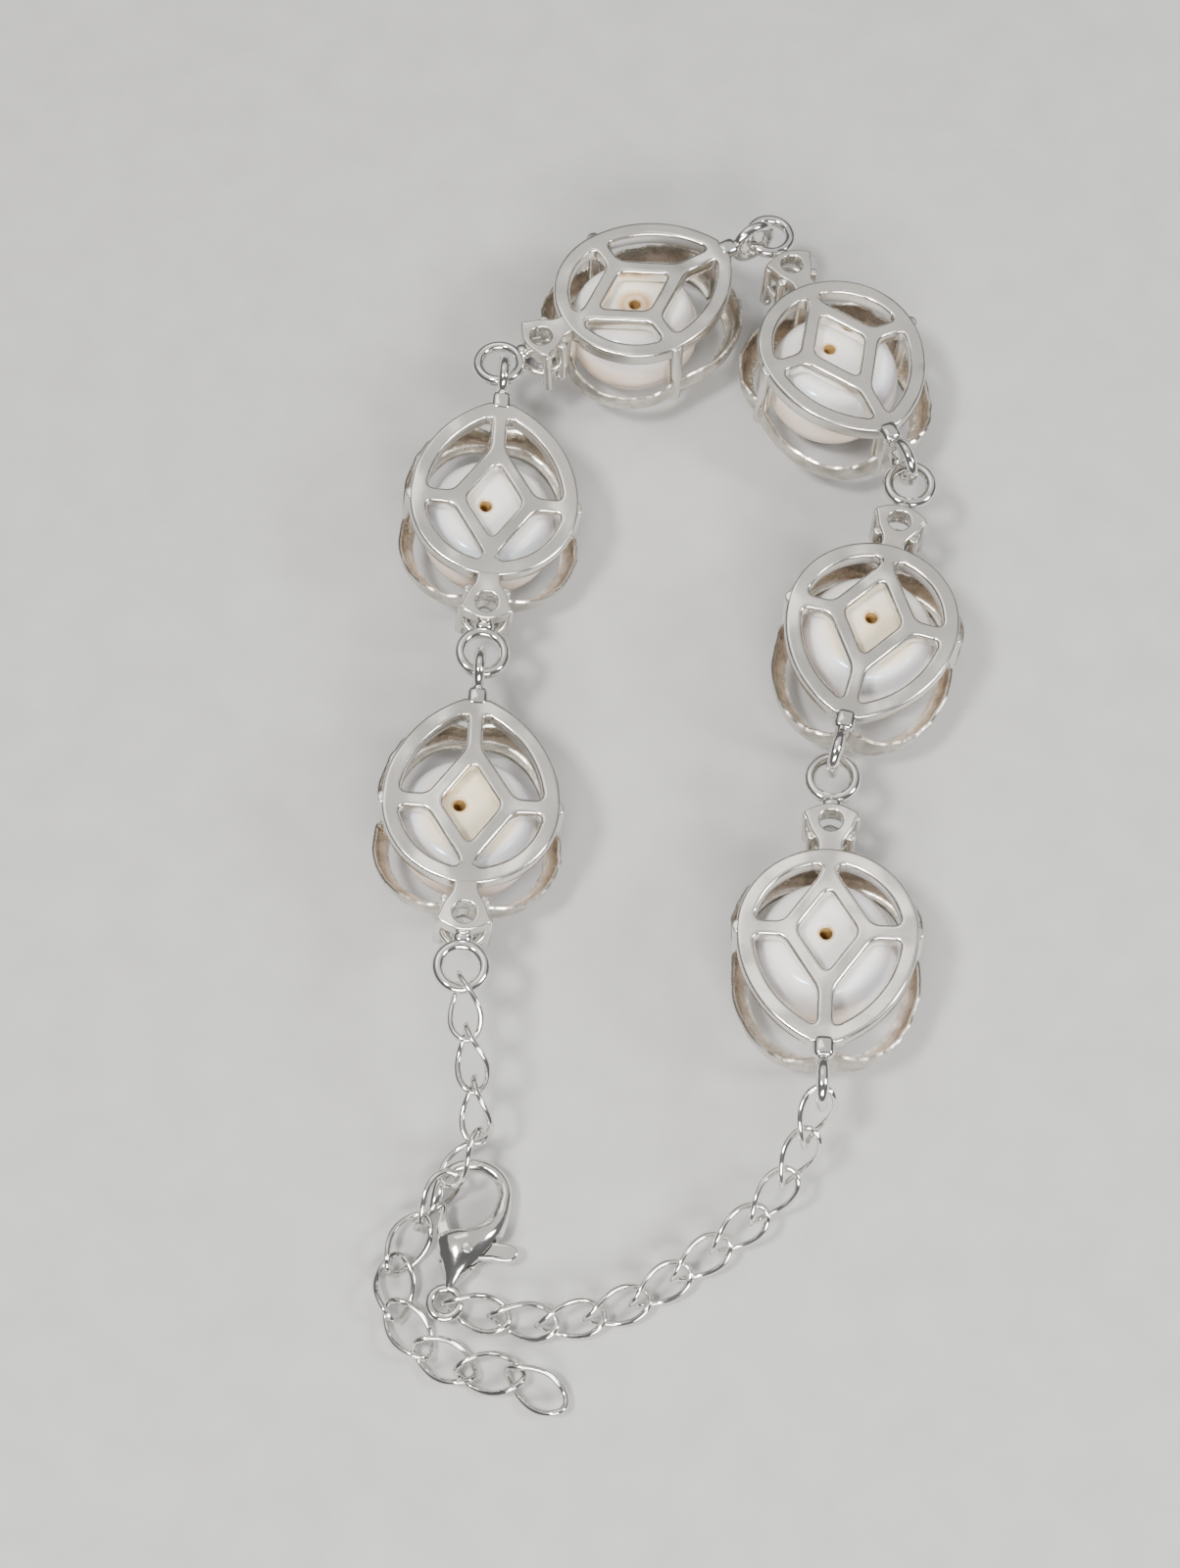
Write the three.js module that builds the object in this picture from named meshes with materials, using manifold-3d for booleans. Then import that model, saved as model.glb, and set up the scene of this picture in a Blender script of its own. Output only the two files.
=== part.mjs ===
// Pearl bracelet, fastened and lying face down: six cast stations, each with a button pearl and a small
// cut stone, hang ring in ring between an extender of oval links and a lobster clasp.
// Millimetres, +Z up, the surface it lies on is z = 0, and +Y runs along the length of the closed loop.

import * as THREE from "three";
import { mergeVertices } from "three/addons/utils/BufferGeometryUtils.js";
import Module from "manifold-3d";

const wasm = await Module();
wasm.setup();

// Clearances between neighbouring solids
const SEAT_GAP = 0.3;
const STONE_GAP = 0.15;
const CHAIN_GAP = 0.25;
const LEVER_GAP = 0.25;

// Pearl: a button shape, widest between a flat drilled back and a domed front
const PEARL_RADIUS = 4.5;
const PEARL_BACK_RADIUS = 2.9;
const PEARL_BACK_HEIGHT = 2.8;
const PEARL_FRONT_HEIGHT = 3.8;
const DRILL_RADIUS = 0.42;
const DRILL_DEPTH = 2.4;

// Pierced back frame: round at the collet end, pointed at the tip
const PLATE_THICKNESS = 1.1;
const FRAME_HALF_WIDTH = 5.6;
const FRAME_ROUND_END = 5.5;
const FRAME_TIP = 7.3;
const FRAME_TIP_HALF_WIDTH = 0.8;
const BAND_WIDTH = 1.1;
const STRUT_WIDTH = 1.0;
const LOZENGE_HALF_LENGTH = 2.8;
const LOZENGE_HALF_WIDTH = 1.9;

// Posts and petals that cup the pearl below the frame
const POST_RADIUS = 0.5;
const NUB_OVERHANG = 0.25;
const PETAL_THICKNESS = 0.42;
const PETAL_RIM_DEPTH = 3.8;
const PETAL_ROOT_DEPTH = 5.5;
const PETAL_REACH = 0.8;
const ROUND_PETAL_BULGE = 1.05;
const POINTED_PETAL_BULGE = 0.75;

// Collet with its small stone
const COLLET_CENTRE = 7.4;
const COLLET_HOLE_RADIUS = 0.74;
const COLLET_END = 8.6;
const COLLET_HALF_WIDTH = 1.7;
const COLLET_NECK_HALF_WIDTH = 0.8;
const STONE_RADIUS = 1.1;
const STONE_PAVILION = 0.95;
const STONE_CROWN = 0.33;
const STONE_GIRDLE_DEPTH = 3.1;
const PRONG_RADIUS = 0.3;
const RAIL_WIRE_RADIUS = 0.25;

// Joining rings: one lies flat past the collet, one stands on edge past the tip
const RING_WIRE_RADIUS = 0.375;
const FLAT_RING_RADIUS = 1.43;
const FLAT_RING_CENTRE = 10.7;
const EDGE_RING_RADIUS = 1.33;
const EDGE_RING_CENTRE = 9.6;
const RING_DEPTH = 0.9;

// Oval chain link, twisted so that neighbours cross square
const LINK_LENGTH = 4.6;
const LINK_WIDTH = 2.8;
const LINK_WIRE_RADIUS = 0.25;
const LINK_TWIST = Math.PI / 2;

// Lobster clasp
const CLASP_LENGTH = 9.1;
const CLASP_HALF_WIDTH = 2.5;
const CLASP_BODY_THICKNESS = 2.6;
const HOOK_THICKNESS = 0.85;
const HOOK_WIRE = 0.85;
const CLASP_EYE_RADIUS = 1.2;
const CLASP_EYE_HOLE_RADIUS = 0.6;
const LEVER_THICKNESS = 0.8;
const PIN_RADIUS = 0.35;
const HUB_RADIUS = 0.8;

// How each station lies: heading of its tip, lift of its tip and roll about its length, in degrees
const STATION_LIE = [
  { heading: 88, pitch: -2, roll: 5 },
  { heading: 87, pitch: 2, roll: 7 },
  { heading: 31, pitch: -2, roll: -3 },
  { heading: -66, pitch: 2, roll: -4 },
  { heading: -106, pitch: 0, roll: 0 },
  { heading: -94, pitch: 2, roll: 3 },
];

// How each pair of rings pulls, from ring centre to ring centre: direction in degrees and distance
const JOINT_PULLS = [
  { heading: 82, slack: 1.48 },
  { heading: 102, slack: 1.24 },
  { heading: 20, slack: 1.3 },
  { heading: -75, slack: 1.64 },
  { heading: -100, slack: 1.62 },
];
const FIRST_STATION = new THREE.Vector2(-7.4, -1.2);

// Where the clasp lies: the centre of its eye and the direction of its hook, in degrees
const CLASP_PLACE = new THREE.Vector2(-8.7, -31.1);
const CLASP_HEADING = 80.6;

// Chosen points of the chain routes, with their heights over the floor
const CHAIN_ROUTES = {
  extender: [
    [-7.4, -15.9, 7.0],
    [-6.8, -20.7, 4.3],
    [-7.1, -22.1, 3.3],
  ],
  tail: [
    [-11.3, -27.5, 0.8],
    [-12.1, -30.5, 1.05],
    [-8.8, -34.7, 0.85],
    [-4.3, -35.4, 1.05],
    [-2.0, -36.9, 1.0],
  ],
  clasp_side: [
    [12.5, -23.2, 4.55],
    [10.1, -26.1, 2.65],
    [6.7, -28.5, 1.75],
    [2.7, -31.0, 1.25],
    [-1.7, -32.3, 1.35],
    [-4.0, -32.2, 1.15],
  ],
};

// How many links each chain has, and how they are rolled about their length, from first to last, in degrees
const CHAINS = {
  extender: { links: 4, rolls: [44, 55] },
  tail: { links: 6, rolls: [-26, 33] },
  clasp_side: { links: 10, rolls: [-46, -43] },
};

// The link that the hook has caught: its middle in the clasp's own frame, and its lie in degrees
const CAUGHT_PLACE = new THREE.Vector3(-1.75, 6.0, 0.35);
const CAUGHT_LIE = { turn: 63, dip: 24, roll: 110 };

// Where the last link on the clasp's side pulls in the clasp's eye, from the middle of the eye
const EYE_PULL = new THREE.Vector3(0.45, -0.2, 0.05);

const degrees = THREE.MathUtils.degToRad;

const silver = (name) =>
  new THREE.MeshStandardMaterial({ name, color: 0xc9c6c0, roughness: 0.22, metalness: 1.0 });
const pearlCoat = () =>
  new THREE.MeshStandardMaterial({ name: "pearl", color: 0xf1ece4, roughness: 0.25, metalness: 0.0 });
const cutStone = () =>
  new THREE.MeshStandardMaterial({ name: "stone", color: 0xe9eef2, roughness: 0.05, metalness: 0.0 });

// Solids from three.js geometry, joined and cut

function solidOf(geometry) {
  const bare = geometry.clone();
  bare.deleteAttribute("normal");
  bare.deleteAttribute("uv");
  const merged = mergeVertices(bare, 1e-4);
  return new wasm.Manifold(
    new wasm.Mesh({
      numProp: 3,
      vertProperties: merged.attributes.position.array,
      triVerts: new Uint32Array(merged.index.array),
    }),
  );
}

function joined(geometries) {
  return geometries.map(solidOf).reduce((sum, next) => sum.add(next));
}

function meshOf(name, solid, material) {
  const { vertProperties, triVerts } = solid.getMesh();
  const geometry = new THREE.BufferGeometry();
  geometry.setAttribute("position", new THREE.BufferAttribute(new Float32Array(vertProperties), 3));
  geometry.setIndex(new THREE.BufferAttribute(new Uint32Array(triVerts), 1));
  geometry.computeVertexNormals();
  const mesh = new THREE.Mesh(geometry, material);
  mesh.name = name;
  return mesh;
}

// A flat shape extruded downwards from height `top` by `thickness`.
function slab(shape, top, thickness, curveSegments = 4) {
  return new THREE.ExtrudeGeometry(shape, {
    depth: thickness,
    bevelEnabled: false,
    curveSegments,
  }).translate(0, 0, top - thickness);
}

// A flat shape with rounded rims, centred on z = 0.
function pillow(shape, thickness, rounding, bevelSegments) {
  return new THREE.ExtrudeGeometry(shape, {
    depth: thickness - 2 * rounding,
    bevelThickness: rounding,
    bevelSize: rounding,
    bevelOffset: -rounding,
    bevelSegments,
    curveSegments: 2,
  }).translate(0, 0, rounding - thickness / 2);
}

// A block between two x, two y and two z values.
function block(x0, x1, y0, y1, z0, z1) {
  return new THREE.BoxGeometry(x1 - x0, y1 - y0, z1 - z0).translate(
    (x0 + x1) / 2,
    (y0 + y1) / 2,
    (z0 + z1) / 2,
  );
}

// An upright post between two heights.
function post(x, y, z0, z1, radius, sides) {
  return new THREE.CylinderGeometry(radius, radius, z1 - z0, sides)
    .rotateX(Math.PI / 2)
    .translate(x, y, (z0 + z1) / 2);
}

// A body turned about the z axis, from a profile of radius and height.
function turned(profile, segments) {
  return new THREE.LatheGeometry(profile, segments).rotateX(Math.PI / 2);
}

// Pearl, with its widest girdle at z = 0 and a blind hole drilled into its flat back

function pearlGeometry() {
  const quarter = Math.PI / 2;
  const frontSteps = 4;
  const backSteps = 3;
  const profile = [];
  for (let i = 0; i <= frontSteps; i += 1) {
    const angle = (quarter * i) / frontSteps;
    profile.push(new THREE.Vector2(PEARL_RADIUS * Math.sin(angle), -PEARL_FRONT_HEIGHT * Math.cos(angle)));
  }
  for (let i = 1; i <= backSteps; i += 1) {
    const angle = (quarter * i) / backSteps;
    const radius = PEARL_BACK_RADIUS + (PEARL_RADIUS - PEARL_BACK_RADIUS) * Math.cos(angle);
    profile.push(new THREE.Vector2(radius, PEARL_BACK_HEIGHT * Math.sin(angle)));
  }
  profile.push(new THREE.Vector2(DRILL_RADIUS, PEARL_BACK_HEIGHT));
  profile.push(new THREE.Vector2(DRILL_RADIUS, PEARL_BACK_HEIGHT - DRILL_DEPTH));
  profile.push(new THREE.Vector2(0, PEARL_BACK_HEIGHT - DRILL_DEPTH));
  return turned(profile, 14);
}

const PEARL_HEIGHT = -(PLATE_THICKNESS + SEAT_GAP + PEARL_BACK_HEIGHT);

// Outline of the frame, `inset` inwards from its outer edge: a half ellipse that two arcs close to a point

function frameOutline(inset) {
  const spread = FRAME_HALF_WIDTH ** 2 - FRAME_TIP_HALF_WIDTH ** 2;
  const drop = (FRAME_TIP ** 2 - spread) / (2 * (FRAME_HALF_WIDTH - FRAME_TIP_HALF_WIDTH));
  const radius = FRAME_HALF_WIDTH + drop - inset;
  const tipAngle =
    inset > 0 ? Math.asin(drop / radius) : Math.asin((FRAME_TIP_HALF_WIDTH + drop) / radius);
  const quarter = Math.PI / 2;
  const shape = new THREE.Shape();
  shape.absarc(0, -drop, radius, tipAngle, quarter, false);
  shape.absellipse(0, 0, FRAME_ROUND_END - inset, FRAME_HALF_WIDTH - inset, quarter, 3 * quarter, false, 0);
  shape.absarc(0, drop, radius, -quarter, -tipAngle, false);
  return shape;
}

// A lozenge with its long diagonal along x.
function lozenge(halfLength, halfWidth) {
  return new THREE.Shape([
    new THREE.Vector2(halfLength, 0),
    new THREE.Vector2(0, halfWidth),
    new THREE.Vector2(-halfLength, 0),
    new THREE.Vector2(0, -halfWidth),
  ]);
}

function piercedPlate() {
  const diagonal = Math.hypot(LOZENGE_HALF_LENGTH, LOZENGE_HALF_WIDTH);
  const strutLength = (STRUT_WIDTH * diagonal) / LOZENGE_HALF_WIDTH;
  const strutWidth = (STRUT_WIDTH * diagonal) / LOZENGE_HALF_LENGTH;
  const half = STRUT_WIDTH / 2;
  const bandMiddle = BAND_WIDTH / 2;
  const outside = solidOf(slab(frameOutline(0), 0, PLATE_THICKNESS));
  const inside = solidOf(slab(frameOutline(BAND_WIDTH), PLATE_THICKNESS, 3 * PLATE_THICKNESS));
  const lattice = joined([
    slab(lozenge(LOZENGE_HALF_LENGTH + strutLength, LOZENGE_HALF_WIDTH + strutWidth), 0, PLATE_THICKNESS),
    block(bandMiddle - FRAME_ROUND_END, FRAME_TIP - bandMiddle, -half, half, -PLATE_THICKNESS, 0),
    block(-half, half, bandMiddle - FRAME_HALF_WIDTH, FRAME_HALF_WIDTH - bandMiddle, -PLATE_THICKNESS, 0),
  ]);
  const opening = lozenge(LOZENGE_HALF_LENGTH, LOZENGE_HALF_WIDTH);
  const window = slab(opening, PLATE_THICKNESS, 3 * PLATE_THICKNESS);
  return outside.subtract(inside).add(lattice.intersect(outside)).subtract(solidOf(window));
}

// Petals: each is the part of a shallow turned cup that lies in one quarter of the frame

function petal(sideX, sideY) {
  const reachX = sideX < 0 ? FRAME_ROUND_END : FRAME_TIP;
  const bulge = sideX < 0 ? ROUND_PETAL_BULGE : POINTED_PETAL_BULGE;
  const middle = (FRAME_HALF_WIDTH + bulge) / Math.SQRT2;
  const shift = (2 * middle ** 2 - FRAME_HALF_WIDTH ** 2) / (4 * middle - 2 * FRAME_HALF_WIDTH);
  const rim = Math.SQRT2 * (middle - shift);
  const middleLine = new THREE.QuadraticBezierCurve(
    new THREE.Vector2(rim - PETAL_REACH, -PETAL_ROOT_DEPTH),
    new THREE.Vector2(rim + PETAL_THICKNESS / 2, -PETAL_ROOT_DEPTH),
    new THREE.Vector2(rim, -PETAL_RIM_DEPTH),
  );
  const spans = 2;
  const outer = [];
  const inner = [];
  for (let i = 0; i <= spans; i += 1) {
    const point = middleLine.getPoint(i / spans);
    const across = middleLine.getTangent(i / spans).rotateAround(new THREE.Vector2(), -Math.PI / 2);
    outer.push(point.clone().addScaledVector(across, PETAL_THICKNESS / 2));
    inner.unshift(point.clone().addScaledVector(across, -PETAL_THICKNESS / 2));
  }
  const cup = turned([...outer, ...inner, outer[0].clone()], 14)
    .translate(sideX * shift, sideY * shift, 0)
    .scale(reachX / FRAME_HALF_WIDTH, 1, 1);
  const far = 2 * FRAME_TIP;
  const insidePost = POST_RADIUS / 2;
  const [x0, x1] = sideX < 0 ? [-far, -insidePost] : [insidePost, far];
  const [y0, y1] = sideY < 0 ? [-far, -insidePost] : [insidePost, far];
  return solidOf(cup).intersect(solidOf(block(x0, x1, y0, y1, -far, 0)));
}

function petalsAndPosts() {
  const foot = -PETAL_ROOT_DEPTH - PETAL_THICKNESS / 2;
  const head = -PLATE_THICKNESS / 20;
  const nub = FRAME_HALF_WIDTH + NUB_OVERHANG - POST_RADIUS;
  const posts = joined([
    post(0, nub, foot, head, POST_RADIUS, 6),
    post(0, -nub, foot, head, POST_RADIUS, 6),
    post(NUB_OVERHANG - FRAME_ROUND_END, 0, foot, head, POST_RADIUS, 6),
    post(FRAME_TIP - POST_RADIUS, 0, foot, head, POST_RADIUS, 6),
  ]);
  return posts.add(petal(-1, 1)).add(petal(-1, -1)).add(petal(1, 1)).add(petal(1, -1));
}

// Collet: a shield plate with a round hole, a rail, and four prongs that hold the stone face down

function shieldPlate() {
  const shoulder = (FRAME_ROUND_END + COLLET_CENTRE) / 2;
  const corner = COLLET_CENTRE + 0.4 * COLLET_HALF_WIDTH;
  const shape = new THREE.Shape();
  shape.moveTo(BAND_WIDTH / 2 - FRAME_ROUND_END, COLLET_NECK_HALF_WIDTH);
  shape.lineTo(-FRAME_ROUND_END - BAND_WIDTH / 4, COLLET_NECK_HALF_WIDTH);
  shape.lineTo(-shoulder, 0.62 * COLLET_HALF_WIDTH);
  shape.lineTo(-COLLET_CENTRE, 0.8 * COLLET_HALF_WIDTH);
  shape.lineTo(-corner, COLLET_HALF_WIDTH);
  shape.quadraticCurveTo(-COLLET_END, 0.5 * COLLET_HALF_WIDTH, -COLLET_END, 0);
  shape.quadraticCurveTo(-COLLET_END, -0.5 * COLLET_HALF_WIDTH, -corner, -COLLET_HALF_WIDTH);
  shape.lineTo(-COLLET_CENTRE, -0.8 * COLLET_HALF_WIDTH);
  shape.lineTo(-shoulder, -0.62 * COLLET_HALF_WIDTH);
  shape.lineTo(-FRAME_ROUND_END - BAND_WIDTH / 4, -COLLET_NECK_HALF_WIDTH);
  shape.lineTo(BAND_WIDTH / 2 - FRAME_ROUND_END, -COLLET_NECK_HALF_WIDTH);
  shape.closePath();
  return slab(shape, 0, PLATE_THICKNESS, 3);
}

function collet() {
  const prongCircle = STONE_RADIUS + STONE_GAP + PRONG_RADIUS;
  const beadRadius = 1.4 * PRONG_RADIUS;
  const beadDepth = STONE_GIRDLE_DEPTH + STONE_CROWN / 2 + STONE_GAP + beadRadius;
  const beadCircle = prongCircle - 0.8 * PRONG_RADIUS;
  const railDepth = STONE_GIRDLE_DEPTH - STONE_PAVILION + RAIL_WIRE_RADIUS / 2;
  const pieces = [
    shieldPlate(),
    new THREE.TorusGeometry(prongCircle - PRONG_RADIUS / 2, RAIL_WIRE_RADIUS, 4, 10).translate(
      -COLLET_CENTRE,
      0,
      -railDepth,
    ),
  ];
  for (const direction of [52, 105, -52, -105].map(degrees)) {
    const along = Math.cos(direction);
    const across = Math.sin(direction);
    pieces.push(
      post(
        prongCircle * along - COLLET_CENTRE,
        prongCircle * across,
        -beadDepth,
        -PLATE_THICKNESS / 4,
        PRONG_RADIUS,
        5,
      ),
      new THREE.OctahedronGeometry(beadRadius, 0).translate(
        beadCircle * along - COLLET_CENTRE,
        beadCircle * across,
        -beadDepth,
      ),
    );
  }
  const hole = post(-COLLET_CENTRE, 0, -2 * PLATE_THICKNESS, PLATE_THICKNESS, COLLET_HOLE_RADIUS, 10);
  return joined(pieces).subtract(solidOf(hole));
}

function joiningRings() {
  const solderHalf = RING_WIRE_RADIUS;
  const flatRing = new THREE.TorusGeometry(FLAT_RING_RADIUS, RING_WIRE_RADIUS, 5, 12);
  const edgeRing = new THREE.TorusGeometry(EDGE_RING_RADIUS, RING_WIRE_RADIUS, 5, 12);
  return joined([
    flatRing.translate(-FLAT_RING_CENTRE, 0, -RING_DEPTH),
    edgeRing.rotateX(Math.PI / 2).translate(EDGE_RING_CENTRE, 0, -RING_DEPTH),
    block(
      FLAT_RING_RADIUS - FLAT_RING_CENTRE,
      -COLLET_CENTRE - COLLET_HOLE_RADIUS - RING_WIRE_RADIUS / 4,
      -solderHalf,
      solderHalf,
      -RING_DEPTH - solderHalf / 2,
      -RING_DEPTH + solderHalf,
    ),
    block(
      FRAME_TIP - 2 * solderHalf,
      EDGE_RING_CENTRE - EDGE_RING_RADIUS,
      -1.7 * solderHalf,
      1.7 * solderHalf,
      -PLATE_THICKNESS,
      0.2 * solderHalf,
    ),
  ]);
}

function stoneGeometry() {
  const girdle = 0.05 * STONE_RADIUS;
  const table = 0.57 * STONE_RADIUS;
  return turned(
    [
      new THREE.Vector2(0, -STONE_CROWN),
      new THREE.Vector2(table, -STONE_CROWN),
      new THREE.Vector2(STONE_RADIUS, -girdle),
      new THREE.Vector2(STONE_RADIUS, girdle),
      new THREE.Vector2(0, STONE_PAVILION),
    ],
    8,
  );
}

// One station: origin at the middle of its lozenge on the back face, +X towards its tip

function station(number) {
  const group = new THREE.Group();
  const setting = piercedPlate().add(petalsAndPosts()).add(collet()).add(joiningRings());
  const pearl = meshOf(`pearl_${number}`, solidOf(pearlGeometry()), pearlCoat());
  pearl.position.z = PEARL_HEIGHT;
  const stone = meshOf(`stone_${number}`, solidOf(stoneGeometry()), cutStone());
  stone.position.set(-COLLET_CENTRE, 0, -STONE_GIRDLE_DEPTH);
  group.add(meshOf(`setting_${number}`, setting, silver("silver")), pearl, stone);
  return group;
}

// The stations hang ring in ring: each is placed from the ring of the one before, and rests on its pearl

function layStations() {
  const edgeRing = new THREE.Vector3(EDGE_RING_CENTRE, 0, -RING_DEPTH);
  const flatRing = new THREE.Vector3(-FLAT_RING_CENTRE, 0, -RING_DEPTH);
  const stations = [];
  STATION_LIE.forEach(({ heading, pitch, roll }, index) => {
    const group = station(index + 1);
    group.rotation.set(degrees(roll), degrees(-pitch), degrees(heading), "ZYX");
    if (index === 0) {
      group.position.set(FIRST_STATION.x, FIRST_STATION.y, 0);
    } else {
      const pull = degrees(JOINT_PULLS[index - 1].heading);
      const { slack } = JOINT_PULLS[index - 1];
      const reached = stations[index - 1].localToWorld(edgeRing.clone());
      const hung = flatRing.clone().applyEuler(group.rotation);
      group.position.x = reached.x + slack * Math.cos(pull) - hung.x;
      group.position.y = reached.y + slack * Math.sin(pull) - hung.y;
    }
    group.updateMatrixWorld(true);
    const pearl = group.getObjectByName(`pearl_${index + 1}`);
    group.position.z = -new THREE.Box3().setFromObject(pearl, true).min.z;
    group.updateMatrixWorld(true);
    stations.push(group);
  });
  return stations;
}

// Chain links

const LINK_HALF_LENGTH = LINK_LENGTH / 2 - LINK_WIRE_RADIUS;
const LINK_HALF_WIDTH = LINK_WIDTH / 2 - LINK_WIRE_RADIUS;
const LINK_OVERLAP = 2 * LINK_WIRE_RADIUS + CHAIN_GAP;
const LINK_PITCH = 2 * LINK_HALF_LENGTH - LINK_OVERLAP;
const RING_HOLD = RING_WIRE_RADIUS + LINK_WIRE_RADIUS + CHAIN_GAP - LINK_OVERLAP / 2;

// A ring stretched into an oval along x, with its wire kept round, then twisted about x.
function linkGeometry() {
  const geometry = new THREE.TorusGeometry(1, LINK_WIRE_RADIUS, 5, 10);
  const position = geometry.attributes.position;
  const point = new THREE.Vector3();
  for (let i = 0; i < position.count; i += 1) {
    point.fromBufferAttribute(position, i);
    const angle = Math.atan2(point.y, point.x);
    const outwards = Math.hypot(point.x, point.y) - 1;
    const slope = new THREE.Vector2(
      LINK_HALF_WIDTH * Math.cos(angle),
      LINK_HALF_LENGTH * Math.sin(angle),
    ).normalize();
    point.x = LINK_HALF_LENGTH * Math.cos(angle) + outwards * slope.x;
    point.y = LINK_HALF_WIDTH * Math.sin(angle) + outwards * slope.y;
    const twist = (-LINK_TWIST / 2) * (point.x / LINK_HALF_LENGTH);
    point.applyAxisAngle(new THREE.Vector3(1, 0, 0), twist);
    position.setXYZ(i, point.x, point.y, point.z);
  }
  return geometry;
}

// A link with its middle at `centre`, its length along `direction`, and its face turned by `roll`.
function linkMesh(name, centre, direction, roll) {
  const mesh = meshOf(name, solidOf(linkGeometry()), silver("silver"));
  const along = direction.clone().normalize();
  const across = new THREE.Vector3(0, 0, 1).cross(along).normalize();
  const up = along.clone().cross(across);
  mesh.setRotationFromMatrix(new THREE.Matrix4().makeBasis(along, across, up));
  mesh.rotateX(roll);
  mesh.position.copy(centre);
  return mesh;
}

// Links laid evenly on a route from one joint to the next, their faces turning from one roll to another.
// A taut chain has the pitch of its links, and a slack one has a shorter pitch.
function chain(name, firstNumber, count, route, startRoll, endRoll) {
  const curve = new THREE.CatmullRomCurve3(route, false, "centripetal");
  curve.arcLengthDivisions = 400;
  const joints = curve.getSpacedPoints(count);
  const group = new THREE.Group();
  for (let i = 0; i < count; i += 1) {
    const centre = joints[i].clone().add(joints[i + 1]).multiplyScalar(0.5);
    const direction = joints[i + 1].clone().sub(joints[i]);
    const roll = THREE.MathUtils.lerp(startRoll, endRoll, (i + 0.5) / count);
    group.add(linkMesh(`${name}_${firstNumber + i}`, centre, direction, roll));
  }
  return group;
}

// Lobster clasp, in its own frame: eye at the origin, hook towards +Y, thumb tab towards +X

const clasp = (x, y) => new THREE.Vector2(x * CLASP_HALF_WIDTH, y * CLASP_LENGTH);
const LEVER_PIVOT = clasp(0.32, 0.363);
const LOOP_CENTRE = clasp(0.15, 0.75);
const LOOP_OUTER = new THREE.Vector2(CLASP_HALF_WIDTH, CLASP_LENGTH - LOOP_CENTRE.y);
const LOOP_INNER = LOOP_OUTER.clone().subScalar(HOOK_WIRE);

function hookOutline() {
  const left = clasp(-0.76, 0.58);
  const shape = new THREE.Shape();
  shape.moveTo(LOOP_CENTRE.x + LOOP_OUTER.x, LOOP_CENTRE.y);
  shape.absellipse(LOOP_CENTRE.x, LOOP_CENTRE.y, LOOP_OUTER.x, LOOP_OUTER.y, 0, Math.PI, false, 0);
  shape.quadraticCurveTo(LOOP_CENTRE.x - LOOP_OUTER.x, 0.66 * CLASP_LENGTH, left.x, left.y);
  shape.quadraticCurveTo(
    LOOP_CENTRE.x - LOOP_INNER.x,
    0.66 * CLASP_LENGTH,
    LOOP_CENTRE.x - LOOP_INNER.x,
    LOOP_CENTRE.y,
  );
  shape.absellipse(LOOP_CENTRE.x, LOOP_CENTRE.y, LOOP_INNER.x, LOOP_INNER.y, Math.PI, 0, true, 0);
  shape.splineThru([clasp(0.68, 0.65), clasp(0.5, 0.575)]);
  shape.lineTo(clasp(0.62, 0.5).x, clasp(0.62, 0.5).y);
  shape.lineTo(clasp(1.0, 0.5).x, clasp(1.0, 0.5).y);
  shape.splineThru([clasp(1.13, 0.56), clasp(1.16, 0.66)]);
  return shape;
}

function bodyOutline() {
  const shape = new THREE.Shape();
  shape.moveTo(clasp(-0.12, 0.12).x, clasp(-0.12, 0.12).y);
  shape.lineTo(clasp(0.22, 0.12).x, clasp(0.22, 0.12).y);
  shape.splineThru([clasp(0.62, 0.28), clasp(0.98, 0.42), clasp(1.06, 0.5), clasp(0.85, 0.58)]);
  shape.splineThru([clasp(0.5, 0.545), clasp(0.05, 0.485), clasp(-0.4, 0.46), clasp(-0.6, 0.43)]);
  shape.splineThru([clasp(-0.58, 0.39), clasp(-0.36, 0.26)]);
  return shape;
}

// A spindle about the length of the clasp, flattened, that rounds the body's faces.
function bodySpindle() {
  const widest = 1.1 * CLASP_HALF_WIDTH;
  const profile = [
    [0, 0.08],
    [0.3, 0.1],
    [0.5, 0.2],
    [0.8, 0.31],
    [1, 0.42],
    [1, 0.5],
    [0.8, 0.58],
    [0, 0.62],
  ].map(([radius, along]) => new THREE.Vector2(radius * widest, along * CLASP_LENGTH));
  return new THREE.LatheGeometry(profile, 12)
    .translate(clasp(0.2, 0).x, 0, 0)
    .scale(1, 1, CLASP_BODY_THICKNESS / (2 * widest));
}

function leverOutline() {
  const hubStart = degrees(210);
  const hubEnd = degrees(330);
  const shape = new THREE.Shape();
  shape.moveTo(clasp(-0.47, 0.655).x, clasp(-0.47, 0.655).y);
  shape.splineThru([clasp(-0.53, 0.6), clasp(-0.56, 0.5), clasp(-0.5, 0.44), clasp(-0.3, 0.37)]);
  shape.absarc(LEVER_PIVOT.x, LEVER_PIVOT.y, HUB_RADIUS, hubStart, hubEnd, false);
  shape.lineTo(clasp(0.95, 0.33).x, clasp(0.95, 0.33).y);
  shape.splineThru([clasp(1.28, 0.325), clasp(1.5, 0.36), clasp(1.54, 0.41)]);
  shape.splineThru([clasp(1.36, 0.45), clasp(1.1, 0.455)]);
  shape.lineTo(clasp(0.62, 0.43).x, clasp(0.62, 0.43).y);
  shape.lineTo(clasp(0.1, 0.44).x, clasp(0.1, 0.44).y);
  shape.splineThru([clasp(-0.2, 0.5), clasp(-0.32, 0.57), clasp(-0.38, 0.655)]);
  shape.closePath();
  return shape;
}

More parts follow.
